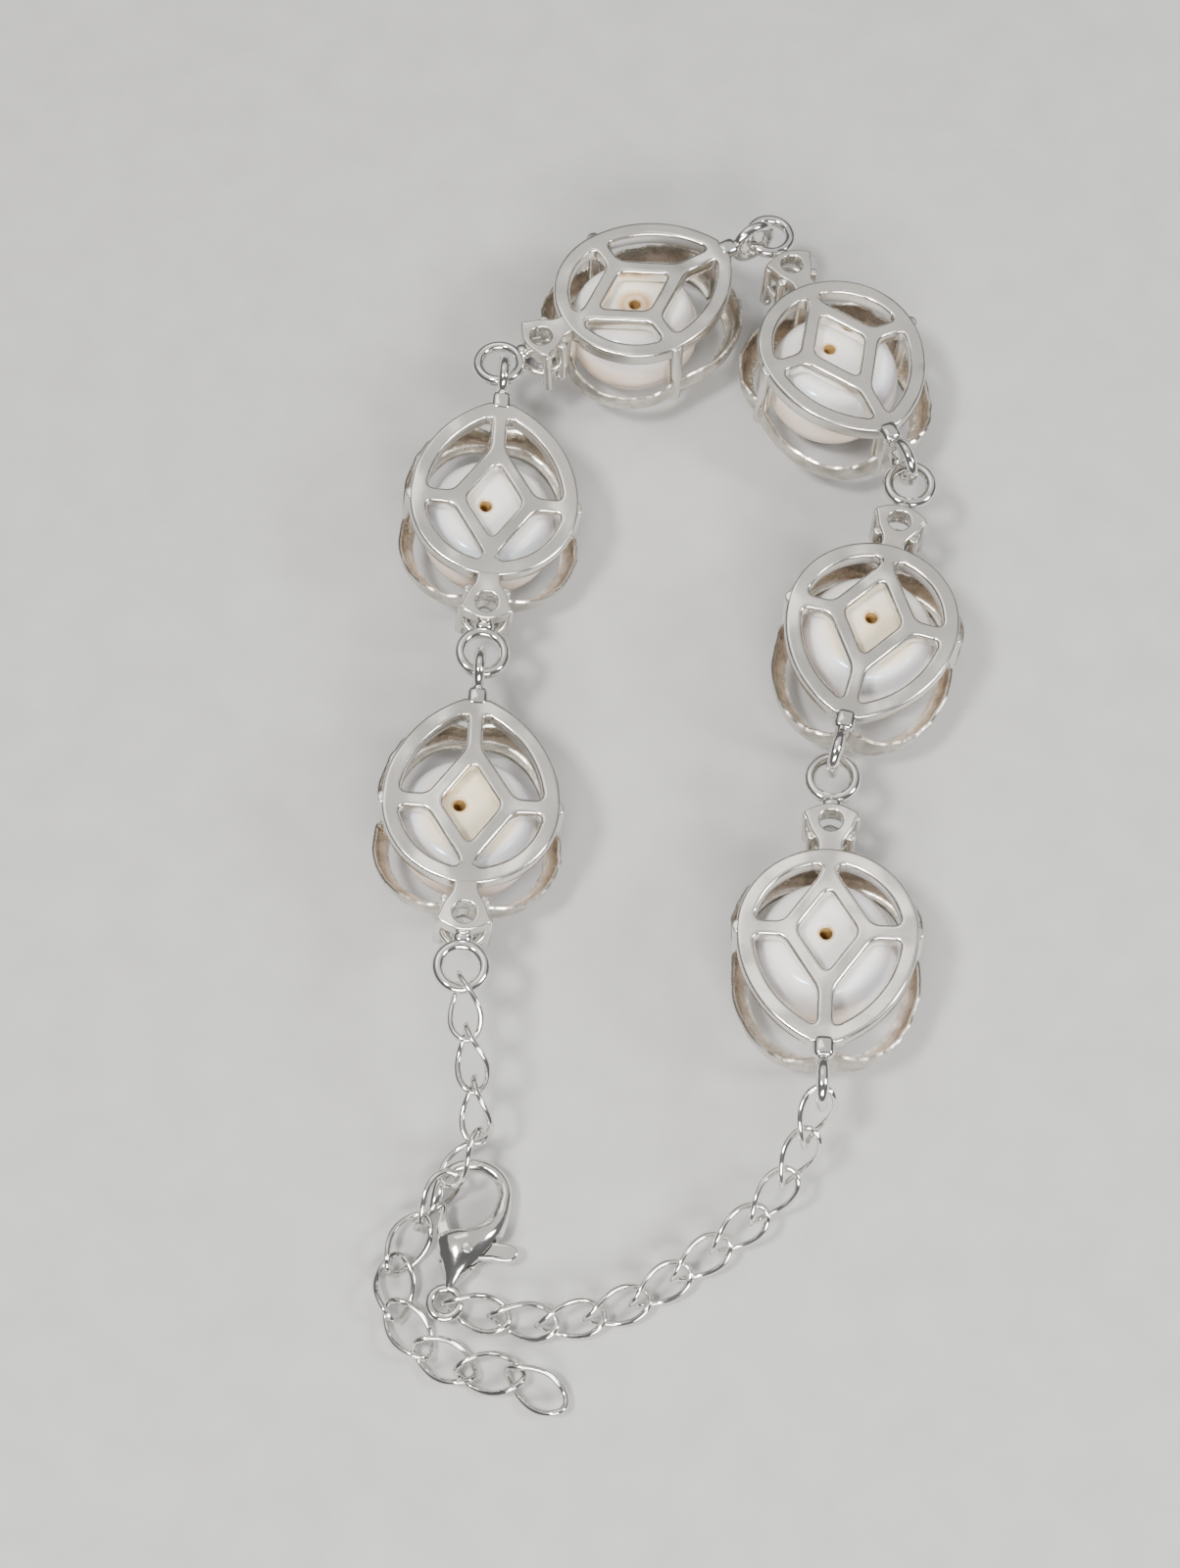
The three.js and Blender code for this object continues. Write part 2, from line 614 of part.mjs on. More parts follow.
// The room the lever needs in the body, over its whole swing.
function leverSlot() {
  const shape = new THREE.Shape([
    clasp(-0.9, 0.33),
    clasp(-0.1, 0.25),
    clasp(0.32, 0.235),
    clasp(0.9, 0.24),
    clasp(1.4, 0.26),
    clasp(1.4, 0.5),
    clasp(0.75, 0.48),
    clasp(0.32, 0.48),
    clasp(0.1, 0.6),
    clasp(-0.9, 0.6),
  ]);
  const height = LEVER_THICKNESS + 2 * LEVER_GAP;
  return slab(shape, height / 2, height);
}

function claspBody() {
  const eyeWireRadius = (CLASP_EYE_RADIUS - CLASP_EYE_HOLE_RADIUS) / 2;
  const eye = new THREE.TorusGeometry(CLASP_EYE_RADIUS - eyeWireRadius, eyeWireRadius, 5, 12);
  const neck = block(
    -0.35 * CLASP_EYE_HOLE_RADIUS,
    0.8 * CLASP_EYE_HOLE_RADIUS,
    0.75 * CLASP_EYE_RADIUS,
    0.22 * CLASP_LENGTH,
    -HOOK_THICKNESS / 2,
    HOOK_THICKNESS / 2,
  );
  const pin = post(
    LEVER_PIVOT.x,
    LEVER_PIVOT.y,
    -0.45 * CLASP_BODY_THICKNESS,
    0.45 * CLASP_BODY_THICKNESS,
    PIN_RADIUS,
    8,
  );
  return solidOf(slab(bodyOutline(), CLASP_BODY_THICKNESS / 2, CLASP_BODY_THICKNESS, 2))
    .intersect(solidOf(bodySpindle()))
    .subtract(solidOf(leverSlot()))
    .add(solidOf(pillow(hookOutline(), HOOK_THICKNESS, 0.2, 1)))
    .add(solidOf(neck))
    .add(solidOf(eye))
    .add(solidOf(pin));
}

function claspLever() {
  const bore = post(
    LEVER_PIVOT.x,
    LEVER_PIVOT.y,
    -LEVER_THICKNESS,
    LEVER_THICKNESS,
    PIN_RADIUS + LEVER_GAP / 2,
    12,
  );
  return solidOf(slab(leverOutline(), LEVER_THICKNESS / 2, LEVER_THICKNESS, 3)).subtract(solidOf(bore));
}

function layClasp() {
  const group = new THREE.Group();
  group.add(meshOf("clasp_body", claspBody(), silver("silver")));
  group.add(meshOf("clasp_lever", claspLever(), silver("silver")));
  group.rotation.z = degrees(CLASP_HEADING) - Math.PI / 2;
  group.position.set(CLASP_PLACE.x, CLASP_PLACE.y, CLASP_BODY_THICKNESS / 2);
  group.updateMatrixWorld(true);
  return group;
}

// The whole bracelet

const bracelet = new THREE.Group();
const stations = layStations();
const claspGroup = layClasp();

// The link that the hook has caught lies aslant round the hook's free arm.
const caughtCentre = claspGroup.localToWorld(CAUGHT_PLACE.clone());
const caughtDirection = new THREE.Vector3(
  -Math.cos(degrees(CAUGHT_LIE.turn)) * Math.cos(degrees(CAUGHT_LIE.dip)),
  -Math.sin(degrees(CAUGHT_LIE.turn)) * Math.cos(degrees(CAUGHT_LIE.dip)),
  -Math.sin(degrees(CAUGHT_LIE.dip)),
).applyEuler(claspGroup.rotation);
const caughtReach = caughtDirection.clone().multiplyScalar(LINK_PITCH / 2);

const flatRingPull = stations[0].localToWorld(
  new THREE.Vector3(RING_HOLD - FLAT_RING_CENTRE - FLAT_RING_RADIUS, 0, -RING_DEPTH),
);
const edgeRingPull = stations[5].localToWorld(
  new THREE.Vector3(EDGE_RING_CENTRE + EDGE_RING_RADIUS - RING_HOLD, 0, -RING_DEPTH),
);
const eyePull = claspGroup.position.clone().add(EYE_PULL);

function laidChain(name, firstNumber, routeName, start, end) {
  const chosen = CHAIN_ROUTES[routeName].map(([x, y, z]) => new THREE.Vector3(x, y, z));
  const { links, rolls } = CHAINS[routeName];
  return chain(name, firstNumber, links, [...start, ...chosen, ...end], ...rolls.map(degrees));
}

const extender = laidChain(
  "extender_link",
  1,
  "extender",
  [flatRingPull],
  [caughtCentre.clone().sub(caughtReach)],
);
const caught = extender.children.length + 1;
const caughtLink = linkMesh(
  `extender_link_${caught}`,
  caughtCentre,
  caughtDirection,
  degrees(CAUGHT_LIE.roll),
);
const tail = laidChain("extender_link", caught + 1, "tail", [caughtCentre.clone().add(caughtReach)], []);
const claspSide = laidChain("clasp_chain_link", 1, "clasp_side", [edgeRingPull], [eyePull]);

bracelet.add(...stations, claspGroup, extender, caughtLink, tail, claspSide);

// The origin is the middle of the footprint, on the surface that the bracelet lies on.
bracelet.updateMatrixWorld(true);
const box = new THREE.Box3().setFromObject(bracelet, true);
const middle = box.getCenter(new THREE.Vector3());
bracelet.position.set(-middle.x, -middle.y, -box.min.z);

export default bracelet;
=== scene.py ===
# %% [markdown]
# # Pearl bracelet, lying face down
# Six cast silver stations, each with a button pearl, hang ring in ring between a chain and a lobster clasp.
# The imported model gives plain faceted solids. This lesson rebuilds each of them as a fine surface that lies
# exactly on its solid, gives it a metal, nacre or glass finish, and lights it on a pale table.

import math

import bmesh
import bpy
import numpy as np
from mathutils import Matrix, Vector, noise


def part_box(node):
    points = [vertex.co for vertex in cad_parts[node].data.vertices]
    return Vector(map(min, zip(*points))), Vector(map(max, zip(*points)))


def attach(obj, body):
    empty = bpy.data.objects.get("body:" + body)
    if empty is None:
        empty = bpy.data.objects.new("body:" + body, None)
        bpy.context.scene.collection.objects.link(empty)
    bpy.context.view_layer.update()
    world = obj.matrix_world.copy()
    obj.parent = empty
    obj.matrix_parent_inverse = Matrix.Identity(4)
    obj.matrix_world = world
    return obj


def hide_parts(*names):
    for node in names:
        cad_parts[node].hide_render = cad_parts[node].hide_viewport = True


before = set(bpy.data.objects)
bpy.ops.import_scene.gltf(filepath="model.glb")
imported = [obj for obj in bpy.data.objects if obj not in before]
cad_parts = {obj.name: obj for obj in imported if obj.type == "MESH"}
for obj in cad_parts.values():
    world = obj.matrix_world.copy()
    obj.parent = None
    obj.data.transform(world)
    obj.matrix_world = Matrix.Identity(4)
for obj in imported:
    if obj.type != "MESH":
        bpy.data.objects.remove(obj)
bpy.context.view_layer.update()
MM = 0.001
print("nodes:", len(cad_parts))

# %% [markdown]
# ## The camera
# The photograph looks down on the table at a steep angle, from the side of the clasp. A camera that looks
# at the middle of the bracelet from 164 mm away gives the same perspective. The lens is set for the tall
# picture, so the bracelet fills it as it does there. The camera's place is worked out from an angle and a
# distance, because those two are what one reads from a photograph.

# %% Camera at the photograph's angle
LOOK_AT = Vector((-5.37, -3.09, 8.0)) * MM
CAMERA_HEIGHT_ANGLE = math.radians(66)
CAMERA_DISTANCE = 164 * MM
CAMERA_LENS = 60.3

camera_data = bpy.data.cameras.new("photo_camera")
camera_data.lens = CAMERA_LENS
camera_data.sensor_width = 36
camera_data.sensor_fit = "AUTO"
camera_data.clip_start = 0.005
camera_data.clip_end = 5
camera = bpy.data.objects.new("photo_camera", camera_data)
bpy.context.scene.collection.objects.link(camera)
backwards = Vector((0, -math.cos(CAMERA_HEIGHT_ANGLE), math.sin(CAMERA_HEIGHT_ANGLE)))
camera.location = LOOK_AT + backwards * CAMERA_DISTANCE
camera.rotation_euler = (-backwards).to_track_quat("-Z", "Y").to_euler()
bpy.context.scene.camera = camera
print("camera at", [round(v / MM, 1) for v in camera.location])

# %% [markdown]
# ## Finishes
# A finish is a small node tree on the Principled shader. Every pattern reads Object coordinates, which are
# metres here, so a noise scale of 2000 gives spots of about half a millimetre. Pictures would need unwrapping
# and blur in a close-up, and such a pattern does neither. The helpers make what every tree needs: a material
# with its coordinates, a noise, a ramp of colours, a range of values and a bump.


# %% Helpers for node trees
def new_material(name):
    material = bpy.data.materials.new(name)
    material.use_nodes = True
    tree = material.node_tree
    shader = tree.nodes["Principled BSDF"]
    coordinates = tree.nodes.new("ShaderNodeTexCoord")
    mapping = tree.nodes.new("ShaderNodeMapping")
    tree.links.new(coordinates.outputs["Object"], mapping.inputs["Vector"])
    return material, tree, shader, mapping


def noise_pattern(tree, mapping, scale, detail=3.0, roughness=0.5):
    pattern = tree.nodes.new("ShaderNodeTexNoise")
    pattern.inputs["Scale"].default_value = scale
    pattern.inputs["Detail"].default_value = detail
    pattern.inputs["Roughness"].default_value = roughness
    tree.links.new(mapping.outputs["Vector"], pattern.inputs["Vector"])
    return pattern


def colour_ramp(tree, source, stops):
    ramp = tree.nodes.new("ShaderNodeValToRGB")
    ramp.color_ramp.elements[0].position = stops[0][0]
    ramp.color_ramp.elements[0].color = (*stops[0][1], 1)
    ramp.color_ramp.elements[1].position = stops[-1][0]
    ramp.color_ramp.elements[1].color = (*stops[-1][1], 1)
    for position, colour in stops[1:-1]:
        ramp.color_ramp.elements.new(position).color = (*colour, 1)
    tree.links.new(source, ramp.inputs["Fac"])
    return ramp


def value_range(tree, source, low, high):
    span = tree.nodes.new("ShaderNodeMapRange")
    span.inputs["To Min"].default_value = low
    span.inputs["To Max"].default_value = high
    tree.links.new(source, span.inputs["Value"])
    return span


def add_bump(tree, shader, height, distance, strength, before=None):
    bump = tree.nodes.new("ShaderNodeBump")
    bump.inputs["Distance"].default_value = distance
    bump.inputs["Strength"].default_value = strength
    tree.links.new(height, bump.inputs["Height"])
    if before is not None:
        tree.links.new(before.outputs["Normal"], bump.inputs["Normal"])
    tree.links.new(bump.outputs["Normal"], shader.inputs["Normal"])
    return bump


# %% [markdown]
# ## Silver
# The bracelet is plated white metal. The cast stations were tumbled, so their flat backs are smooth and a
# little satin, with faint wear marks and a warm grey, while rings, links and the clasp have a bright polish.
# One function makes both. The wear marks are a noise that is stretched along one direction. A broad and slow
# noise in the bump makes the flat backs undulate a little, as tumbled castings do. Without it they mirror the
# lights as evenly as glass and look like paper.


# %% Satin and bright silver
def silver_material(name, tone, roughness, scratches, grain):
    material, tree, shader, mapping = new_material(name)
    shader.inputs["Metallic"].default_value = 1.0
    cloud = noise_pattern(tree, mapping, 110, 4.0)
    dark = tuple(0.78 * part for part in tone)
    ramp = colour_ramp(tree, cloud.outputs["Fac"], [(0.36, dark), (0.58, tone)])
    tree.links.new(ramp.outputs["Color"], shader.inputs["Base Color"])

    # wear marks, fine grain and the broad undulation, each a bump on the one before
    stretched = tree.nodes.new("ShaderNodeMapping")
    stretched.inputs["Rotation"].default_value = (0.3, 0.2, 0.9)
    stretched.inputs["Scale"].default_value = (1.0, 9.0, 3.0)
    tree.links.new(mapping.outputs["Vector"], stretched.inputs["Vector"])
    lines = noise_pattern(tree, stretched, 500, 5.0, 0.6)
    gloss = value_range(tree, lines.outputs["Fac"], roughness * 0.7, roughness * 1.35)
    tree.links.new(gloss.outputs["Result"], shader.inputs["Roughness"])
    first = add_bump(tree, shader, lines.outputs["Fac"], 0.00001, scratches)
    soft = noise_pattern(tree, mapping, 1300, 2.0)
    second = add_bump(tree, shader, soft.outputs["Fac"], 0.00003, grain, first)
    broad = noise_pattern(tree, mapping, 230, 1.0)
    add_bump(tree, shader, broad.outputs["Fac"], 0.0006, 0.7, second)
    return material


satin_silver = silver_material("satin_silver", (0.83, 0.80, 0.74), 0.20, 0.05, 0.14)
bright_silver = silver_material("bright_silver", (0.87, 0.85, 0.81), 0.10, 0.04, 0.10)
print("silver finishes:", satin_silver.name, bright_silver.name)

# %% [markdown]
# ## Petal silver
# The petals are cast with veins and were hard to reach with a polishing wheel, so their inner faces are
# rough. Their colour is darker than the other silver: partly the duller cast metal, partly painted shade of
# their hollows under the band. Sculpted veins would cost many faces on parts that are mostly hidden, so a
# Voronoi pattern with a strong bump gives the hammered, veined relief that shows between pearl and rim.

# %% Rough cast silver of the petals
petal_silver, tree, shader, mapping = new_material("petal_silver")
shader.inputs["Metallic"].default_value = 1.0
patches = noise_pattern(tree, mapping, 700, 5.0, 0.65)
# darker than the other silver: the duller cast metal, and painted shade of the petals' hollows under the band
ramp = colour_ramp(
    tree,
    patches.outputs["Fac"],
    [(0.3, (0.40, 0.36, 0.30)), (0.5, (0.62, 0.58, 0.51)), (0.7, (0.82, 0.79, 0.73))],
)
tree.links.new(ramp.outputs["Color"], shader.inputs["Base Color"])
gloss = value_range(tree, patches.outputs["Fac"], 0.38, 0.16)
tree.links.new(gloss.outputs["Result"], shader.inputs["Roughness"])
veins = tree.nodes.new("ShaderNodeTexVoronoi")
veins.feature = "SMOOTH_F1"
veins.inputs["Scale"].default_value = 1500
tree.links.new(mapping.outputs["Vector"], veins.inputs["Vector"])
add_bump(tree, shader, veins.outputs["Distance"], 0.00008, 0.55)
print("petal finish:", petal_silver.name)

# %% [markdown]
# ## Nacre
# A pearl is many thin layers over each other, so it is milky, softly glossy and faintly coloured. A little
# subsurface light, a coat and a thin film give that. The flat back was ground down to the ivory layers and
# drilled. The flanks are painted rosier and darker towards the table: partly the nacre's own rosier tone,
# partly painted shade where the pearl curves down under the band. These zones follow the shape of the pearl,
# so they are attributes of its mesh, and the shader mixes its colours by them: the flanks' rose and painted
# shade, `ground`, `drilled`, and `halo` for the golden ring that the drill scorched round the hole, strong on
# one pearl and faint on the others.

# %% Nacre with a ground ivory back
nacre, tree, shader, mapping = new_material("nacre")
overtone = noise_pattern(tree, mapping, 170, 2.0)
skin = colour_ramp(
    tree,
    overtone.outputs["Fac"],
    [(0.35, (0.91, 0.86, 0.82)), (0.48, (0.92, 0.91, 0.90)), (0.62, (0.86, 0.88, 0.93))],
)
ground = tree.nodes.new("ShaderNodeAttribute")
ground.attribute_name = "ground"
grain = noise_pattern(tree, mapping, 2400, 3.0)
batch = noise_pattern(tree, mapping, 48, 1.0)
ivory = colour_ramp(tree, batch.outputs["Fac"], [(0.42, (0.92, 0.80, 0.58)), (0.58, (0.94, 0.91, 0.86))])


def mixed_by(attribute_name, first, second):
    weight = tree.nodes.new("ShaderNodeAttribute")
    weight.attribute_name = attribute_name
    mixed = tree.nodes.new("ShaderNodeMix")
    mixed.data_type = "RGBA"
    tree.links.new(weight.outputs["Fac"], mixed.inputs[0])
    tree.links.new(first, mixed.inputs[6])
    tree.links.new(second, mixed.inputs[7])
    return mixed.outputs[2]


# the flanks' colour: the nacre's rosier tone, made darker as painted shade where the pearl curves down under
# the band
rose_and_shade = colour_ramp(tree, overtone.outputs["Fac"], [(0.35, (0.78, 0.63, 0.49)), (0.62, (0.84, 0.73, 0.64))])
scorch = colour_ramp(tree, grain.outputs["Fac"], [(0.3, (0.52, 0.28, 0.08)), (0.7, (0.70, 0.43, 0.16))])
bore_tone = colour_ramp(tree, grain.outputs["Fac"], [(0.3, (0.45, 0.27, 0.08)), (0.7, (0.66, 0.46, 0.20))])
colour = mixed_by("rosy_shaded_flank", skin.outputs["Color"], rose_and_shade.outputs["Color"])
colour = mixed_by("ground", colour, ivory.outputs["Color"])
colour = mixed_by("halo", colour, scorch.outputs["Color"])
colour = mixed_by("drilled", colour, bore_tone.outputs["Color"])
tree.links.new(colour, shader.inputs["Base Color"])
gloss = value_range(tree, ground.outputs["Fac"], 0.16, 0.40)
tree.links.new(gloss.outputs["Result"], shader.inputs["Roughness"])
shader.inputs["IOR"].default_value = 1.6
shader.inputs["Subsurface Weight"].default_value = 0.12
shader.inputs["Subsurface Radius"].default_value = (1.0, 0.8, 0.7)
shader.inputs["Subsurface Scale"].default_value = 0.0008
shader.inputs["Coat Weight"].default_value = 0.5
shader.inputs["Coat Roughness"].default_value = 0.12
shader.inputs["Thin Film Thickness"].default_value = 320
shader.inputs["Thin Film IOR"].default_value = 1.45
skin_relief = noise_pattern(tree, mapping, 900, 2.0)
add_bump(tree, shader, skin_relief.outputs["Fac"], 0.00002, 0.12)
print("pearl finish:", nacre.name)

# %% [markdown]
# ## Cut stone
# The small stones in the collets are clear and faceted. They could be rebuilt, but the solids already have
# their table and facets, so they stay and only get a finish: clear glass with a high index, which sparkles
# more than window glass, with a faint cloud in its colour.

# %% Clear stone
clear_stone, tree, shader, mapping = new_material("clear_stone")
cloud = noise_pattern(tree, mapping, 600, 2.0)
ramp = colour_ramp(tree, cloud.outputs["Fac"], [(0.3, (0.90, 0.94, 0.98)), (0.7, (0.99, 0.99, 0.99))])
tree.links.new(ramp.outputs["Color"], shader.inputs["Base Color"])
shader.inputs["Roughness"].default_value = 0.01
shader.inputs["IOR"].default_value = 2.1
shader.inputs["Transmission Weight"].default_value = 0.9
STATION_COUNT = 6
for number in range(1, STATION_COUNT + 1):
    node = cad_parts[f"stone_{number}"]
    node.data.materials.clear()
    node.data.materials.append(clear_stone)
print("stones dressed:", STATION_COUNT)

# %% [markdown]
# ## From a bmesh to a piece
# Every piece is modelled in millimetres in its own frame, then one matrix turns it, places it and makes it
# metres. The matrix could sit on the object instead, but with it in the mesh the object stays at the origin,
# where the frame wants it. Edges sharper than a given angle stay crisp and the rest is shaded smooth. The
# piece rides on a body and stands in for the solid that it covers.


# %% Helpers that finish a mesh
def join_mesh(bm, mesh, material_index=0):
    """Add a mesh to the bmesh and remove it. With None for an index its faces keep their own."""
    first = len(bm.faces)
    bm.from_mesh(mesh)
    bm.faces.ensure_lookup_table()
    if material_index is not None:
        for face in bm.faces[first:]:
            face.material_index = material_index
    bpy.data.meshes.remove(mesh)


def mesh_from(bm, name, smooth=False):
    """The bmesh as a mesh, with all its faces shaded smooth if asked for."""
    if smooth:
        for face in bm.faces:
            face.smooth = True
    mesh = bpy.data.meshes.new(name)
    bm.to_mesh(mesh)
    bm.free()
    return mesh


def place_piece(name, template, matrix, materials, node, body="root", crease=38):
    bm = bmesh.new()
    bm.from_mesh(template)
    bmesh.ops.transform(bm, matrix=Matrix.Scale(MM, 4) @ matrix, verts=bm.verts[:])
    mesh = mesh_from(bm, name)
    mesh.set_sharp_from_angle(angle=math.radians(crease))
    for material in materials:
        mesh.materials.append(material)
    piece = bpy.data.objects.new(name, mesh)
    bpy.context.scene.collection.objects.link(piece)
    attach(piece, body)
    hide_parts(node)
    return piece


def outwards(bm):
    bmesh.ops.recalc_face_normals(bm, faces=bm.faces[:])


# %% [markdown]
# ## Plates with rounded edges
# A cast plate is flat with softly rounded rims. A bevel on the edges of a cut plate breaks where a narrow
# corner has less room than the bevel needs. So each closed line of the plate, the outer edge or a hole, is
# drawn as a loop and extruded again and again, each time stepped a little along a quarter circle: that makes
# the rounded rim. A filled flat curve closes both faces round the holes. They are shaded flat, so they stay
# true.


# %% Helpers for outlines and plates
def arc(centre_x, centre_y, radius_x, radius_y, start, stop, steps):
    """Points of an elliptic arc between two angles in degrees."""
    angles = [math.radians(start + (stop - start) * i / steps) for i in range(steps + 1)]
    return [Vector((centre_x + radius_x * math.cos(a), centre_y + radius_y * math.sin(a))) for a in angles]


def filleted(sides, radius, steps=5):
    """The closed outline of the sides, with each corner between two of them rounded."""
    outline = []
    for index, side in enumerate(sides):
        follower = sides[(index + 1) % len(sides)]
        corner = side[-1]
        before = corner + (side[-2] - corner).normalized() * radius
        after = corner + (follower[1] - corner).normalized() * radius
        inner = [p for p in side[1:-1] if (p - corner).length > radius and (p - side[0]).length > radius]
        outline += inner
        for i in range(steps + 1):
            t = i / steps
            outline.append(before * (1 - t) ** 2 + corner * (2 * t * (1 - t)) + after * t**2)
    return outline


def stepped_in(outline, distance, is_hole):
    """The outline moved by a distance into the material."""
    followers = outline[1:] + outline[:1]
    area = sum(p.x * q.y - q.x * p.y for p, q in zip(outline, followers))
    sense = math.copysign(1, area) * (-1 if is_hole else 1)
    moved_line = []
    for i, point in enumerate(outline):
        before = (point - outline[i - 1]).normalized()
        after = (followers[i] - point).normalized()
        first, second = Vector((-before.y, before.x)), Vector((-after.y, after.x))
        shift = (first + second) / max(0.5, 1 + first.dot(second))
        moved_line.append(point + shift * sense * distance)
    return moved_line


def flat_fill(outlines, height):
    """A flat mesh between an outer line and the holes in it."""
    curve = bpy.data.curves.new("fill", "CURVE")
    curve.dimensions = "2D"
    curve.fill_mode = "FRONT"
    for outline in outlines:
        spline = curve.splines.new("POLY")
        spline.points.add(len(outline) - 1)
        for point, place in zip(spline.points, outline):
            point.co = (place.x, place.y, 0, 1)
        spline.use_cyclic_u = True
    holder = bpy.data.objects.new("fill", curve)
    bpy.context.scene.collection.objects.link(holder)
    graph = bpy.context.evaluated_depsgraph_get()
    mesh = bpy.data.meshes.new_from_object(holder.evaluated_get(graph))
    bpy.data.objects.remove(holder)
    bpy.data.curves.remove(curve)
    mesh.shade_flat()
    mesh.transform(Matrix.Translation((0, 0, height)))
    return mesh


def plate(outlines, top, thickness, rounding, steps=3):
    """A plate with rounded rims: the first outline is its outer edge and the others are holes."""
    bm = bmesh.new()
    levels = [(rounding * 1.4, 0.0)]
    for i in range(steps + 1):
        a = math.pi / 2 * i / steps
        levels.append((rounding * (1 - math.sin(a)), rounding * (1 - math.cos(a))))
    levels += [(inset, thickness - depth) for inset, depth in levels[::-1]]
    for number, outline in enumerate(outlines):
        line = stepped_in(outline, levels[0][0], number > 0)
        verts = [bm.verts.new((p.x, p.y, top)) for p in line]
        edges = [bm.edges.new(pair) for pair in zip(verts, verts[1:] + verts[:1])]
        for inset, depth in levels[1:]:
            grown = bmesh.ops.extrude_edge_only(bm, edges=edges)["geom"]
            fresh = {item for item in grown if isinstance(item, bmesh.types.BMVert)}
            verts = [next(e.other_vert(v) for e in v.link_edges if e.other_vert(v) in fresh) for v in verts]
            for vert, place in zip(verts, stepped_in(outline, inset, number > 0)):
                vert.co = (place.x, place.y, top - depth)
            edges = [bm.edges.get(pair) for pair in zip(verts, verts[1:] + verts[:1])]
    for face in bm.faces:
        face.smooth = True
    face_lines = [stepped_in(outline, levels[0][0], number > 0) for number, outline in enumerate(outlines)]
    for height in (top, top - thickness):
        join_mesh(bm, flat_fill(face_lines, height))
    bmesh.ops.remove_doubles(bm, verts=bm.verts[:], dist=0.0005)
    outwards(bm)
    return mesh_from(bm, "plate")


# %% [markdown]
# ## The pierced back plate
# The back of a station is a band, round at one end and pointed at the other, with a lozenge held in its
# middle by four struts. In the workshop it is sawn or cast with its windows, so here too it is one outline
# with holes in it, and nothing has to be joined. These are its sizes in millimetres. `DROP` is how far the
# centre of each long arc lies past the middle line, and follows from the width and the tip.

# %% Sizes of the plate
PLATE = 1.1
HALF_WIDTH = 5.6
ROUND_END = 5.5
TIP = 7.3
TIP_HALF_WIDTH = 0.8
BAND = 1.1
STRUT = 1.0
LOZENGE = (2.8, 1.9)
WINDOW_CORNER = 0.5
LOZENGE_CORNER = 0.55
PLATE_RIM = 0.2

DROP = (TIP**2 - HALF_WIDTH**2 + TIP_HALF_WIDTH**2) / (2 * (HALF_WIDTH - TIP_HALF_WIDTH))
diagonal = math.hypot(*LOZENGE)
LOZENGE_OUT = (LOZENGE[0] + STRUT * diagonal / LOZENGE[1], LOZENGE[1] + STRUT * diagonal / LOZENGE[0])
print("lozenge outside:", [round(v, 2) for v in LOZENGE_OUT])

# %% [markdown]
# ## Lines of the plate
# The band's outline is a half ellipse closed by two arcs. Each of the four windows follows the band's inner
# edge, two struts and one side of the lozenge. One window is worked out in the quarter where x and y are
# positive, and the others mirror it, so the quarters always match.


# %% Outlines of the band and its windows
def band_edge(inset, towards_tip, steps=20):
    """The upper edge of one end of the band, from its far point to the widest place."""
    if not towards_tip:
        return arc(0, 0, ROUND_END - inset, HALF_WIDTH - inset, 180, 90, steps)
    radius = HALF_WIDTH + DROP - inset
    lowest = math.asin((TIP_HALF_WIDTH + DROP) / radius) if inset == 0 else math.asin(DROP / radius)
    return arc(0, -DROP, radius, radius, math.degrees(lowest), 90, steps)


def window(side_x, side_y):
    half = STRUT / 2
    edge = band_edge(BAND, side_x > 0, 60)
    edge = [p for p in edge if p.y > half and abs(p.x) > half]
    slope = LOZENGE_OUT[1] / LOZENGE_OUT[0]
    on_long = Vector((LOZENGE_OUT[0] - half / slope, half))
    on_short = Vector((half, LOZENGE_OUT[1] - half * slope))
    band_side = [Vector((abs(p.x), p.y)) for p in edge]
    band_side = [Vector((band_side[0].x, half))] + band_side[1:-1] + [Vector((half, band_side[-1].y))]
    sides = [
        band_side,
        [band_side[-1], (band_side[-1] + on_short) / 2, on_short],
        [on_short, (on_short + on_long) / 2, on_long],
        [on_long, (on_long + band_side[0]) / 2, band_side[0]],
    ]
    rounded = filleted(sides, WINDOW_CORNER)
    return [Vector((p.x * side_x, p.y * side_y)) for p in rounded]


def lozenge_hole():
    long, short = LOZENGE
    corners = [Vector((long, 0)), Vector((0, short)), Vector((-long, 0)), Vector((0, -short))]
    sides = [[a, (a + b) / 2, b] for a, b in zip(corners, corners[1:] + corners[:1])]
    return filleted(sides, LOZENGE_CORNER)


print("a window's points:", len(window(1, 1)))

# %% [markdown]
# ## Cut the plate
# The upper half of the outline is mirrored to close it, and the plate helper does the rest.

# %% Cut the plate from its outlines
tip_up = band_edge(0, True)
round_up = band_edge(0, False)
outline = tip_up + round_up[::-1][1:] + [Vector((p.x, -p.y)) for p in round_up][1:]
outline += [Vector((p.x, -p.y)) for p in tip_up[::-1]][1:]
windows = [window(sx, sy) for sx in (1, -1) for sy in (1, -1)]
back_plate = plate([outline, lozenge_hole(), *windows], 0, PLATE, PLATE_RIM)
print("back plate faces:", len(back_plate.polygons))

# %% [markdown]
# ## Posts and petals
# Four posts carry the plate over four petals that cup the pearl. A petal is a strip of a shallow bowl: its
# section starts deep beside the pearl and rises outwards to a thin rim. Sculpting four leaves would fit this
# one view, but a section that is spun keeps an even wall from every side. Each quarter of the flower has its
# own rim line, because the photograph shows that the folds differ.

# %% Sizes of posts and petals
POST = 0.5
NUB = 0.25
PETAL_ROOT = 5.5
PETAL_RIM = 3.8
PETAL_REACH = 0.8
PETAL_GAP = 0.2
# how far the cup stands past the band between two posts, at the round end and at the tip
PETAL_BULGE = {-1: 0.60, 1: 0.45}
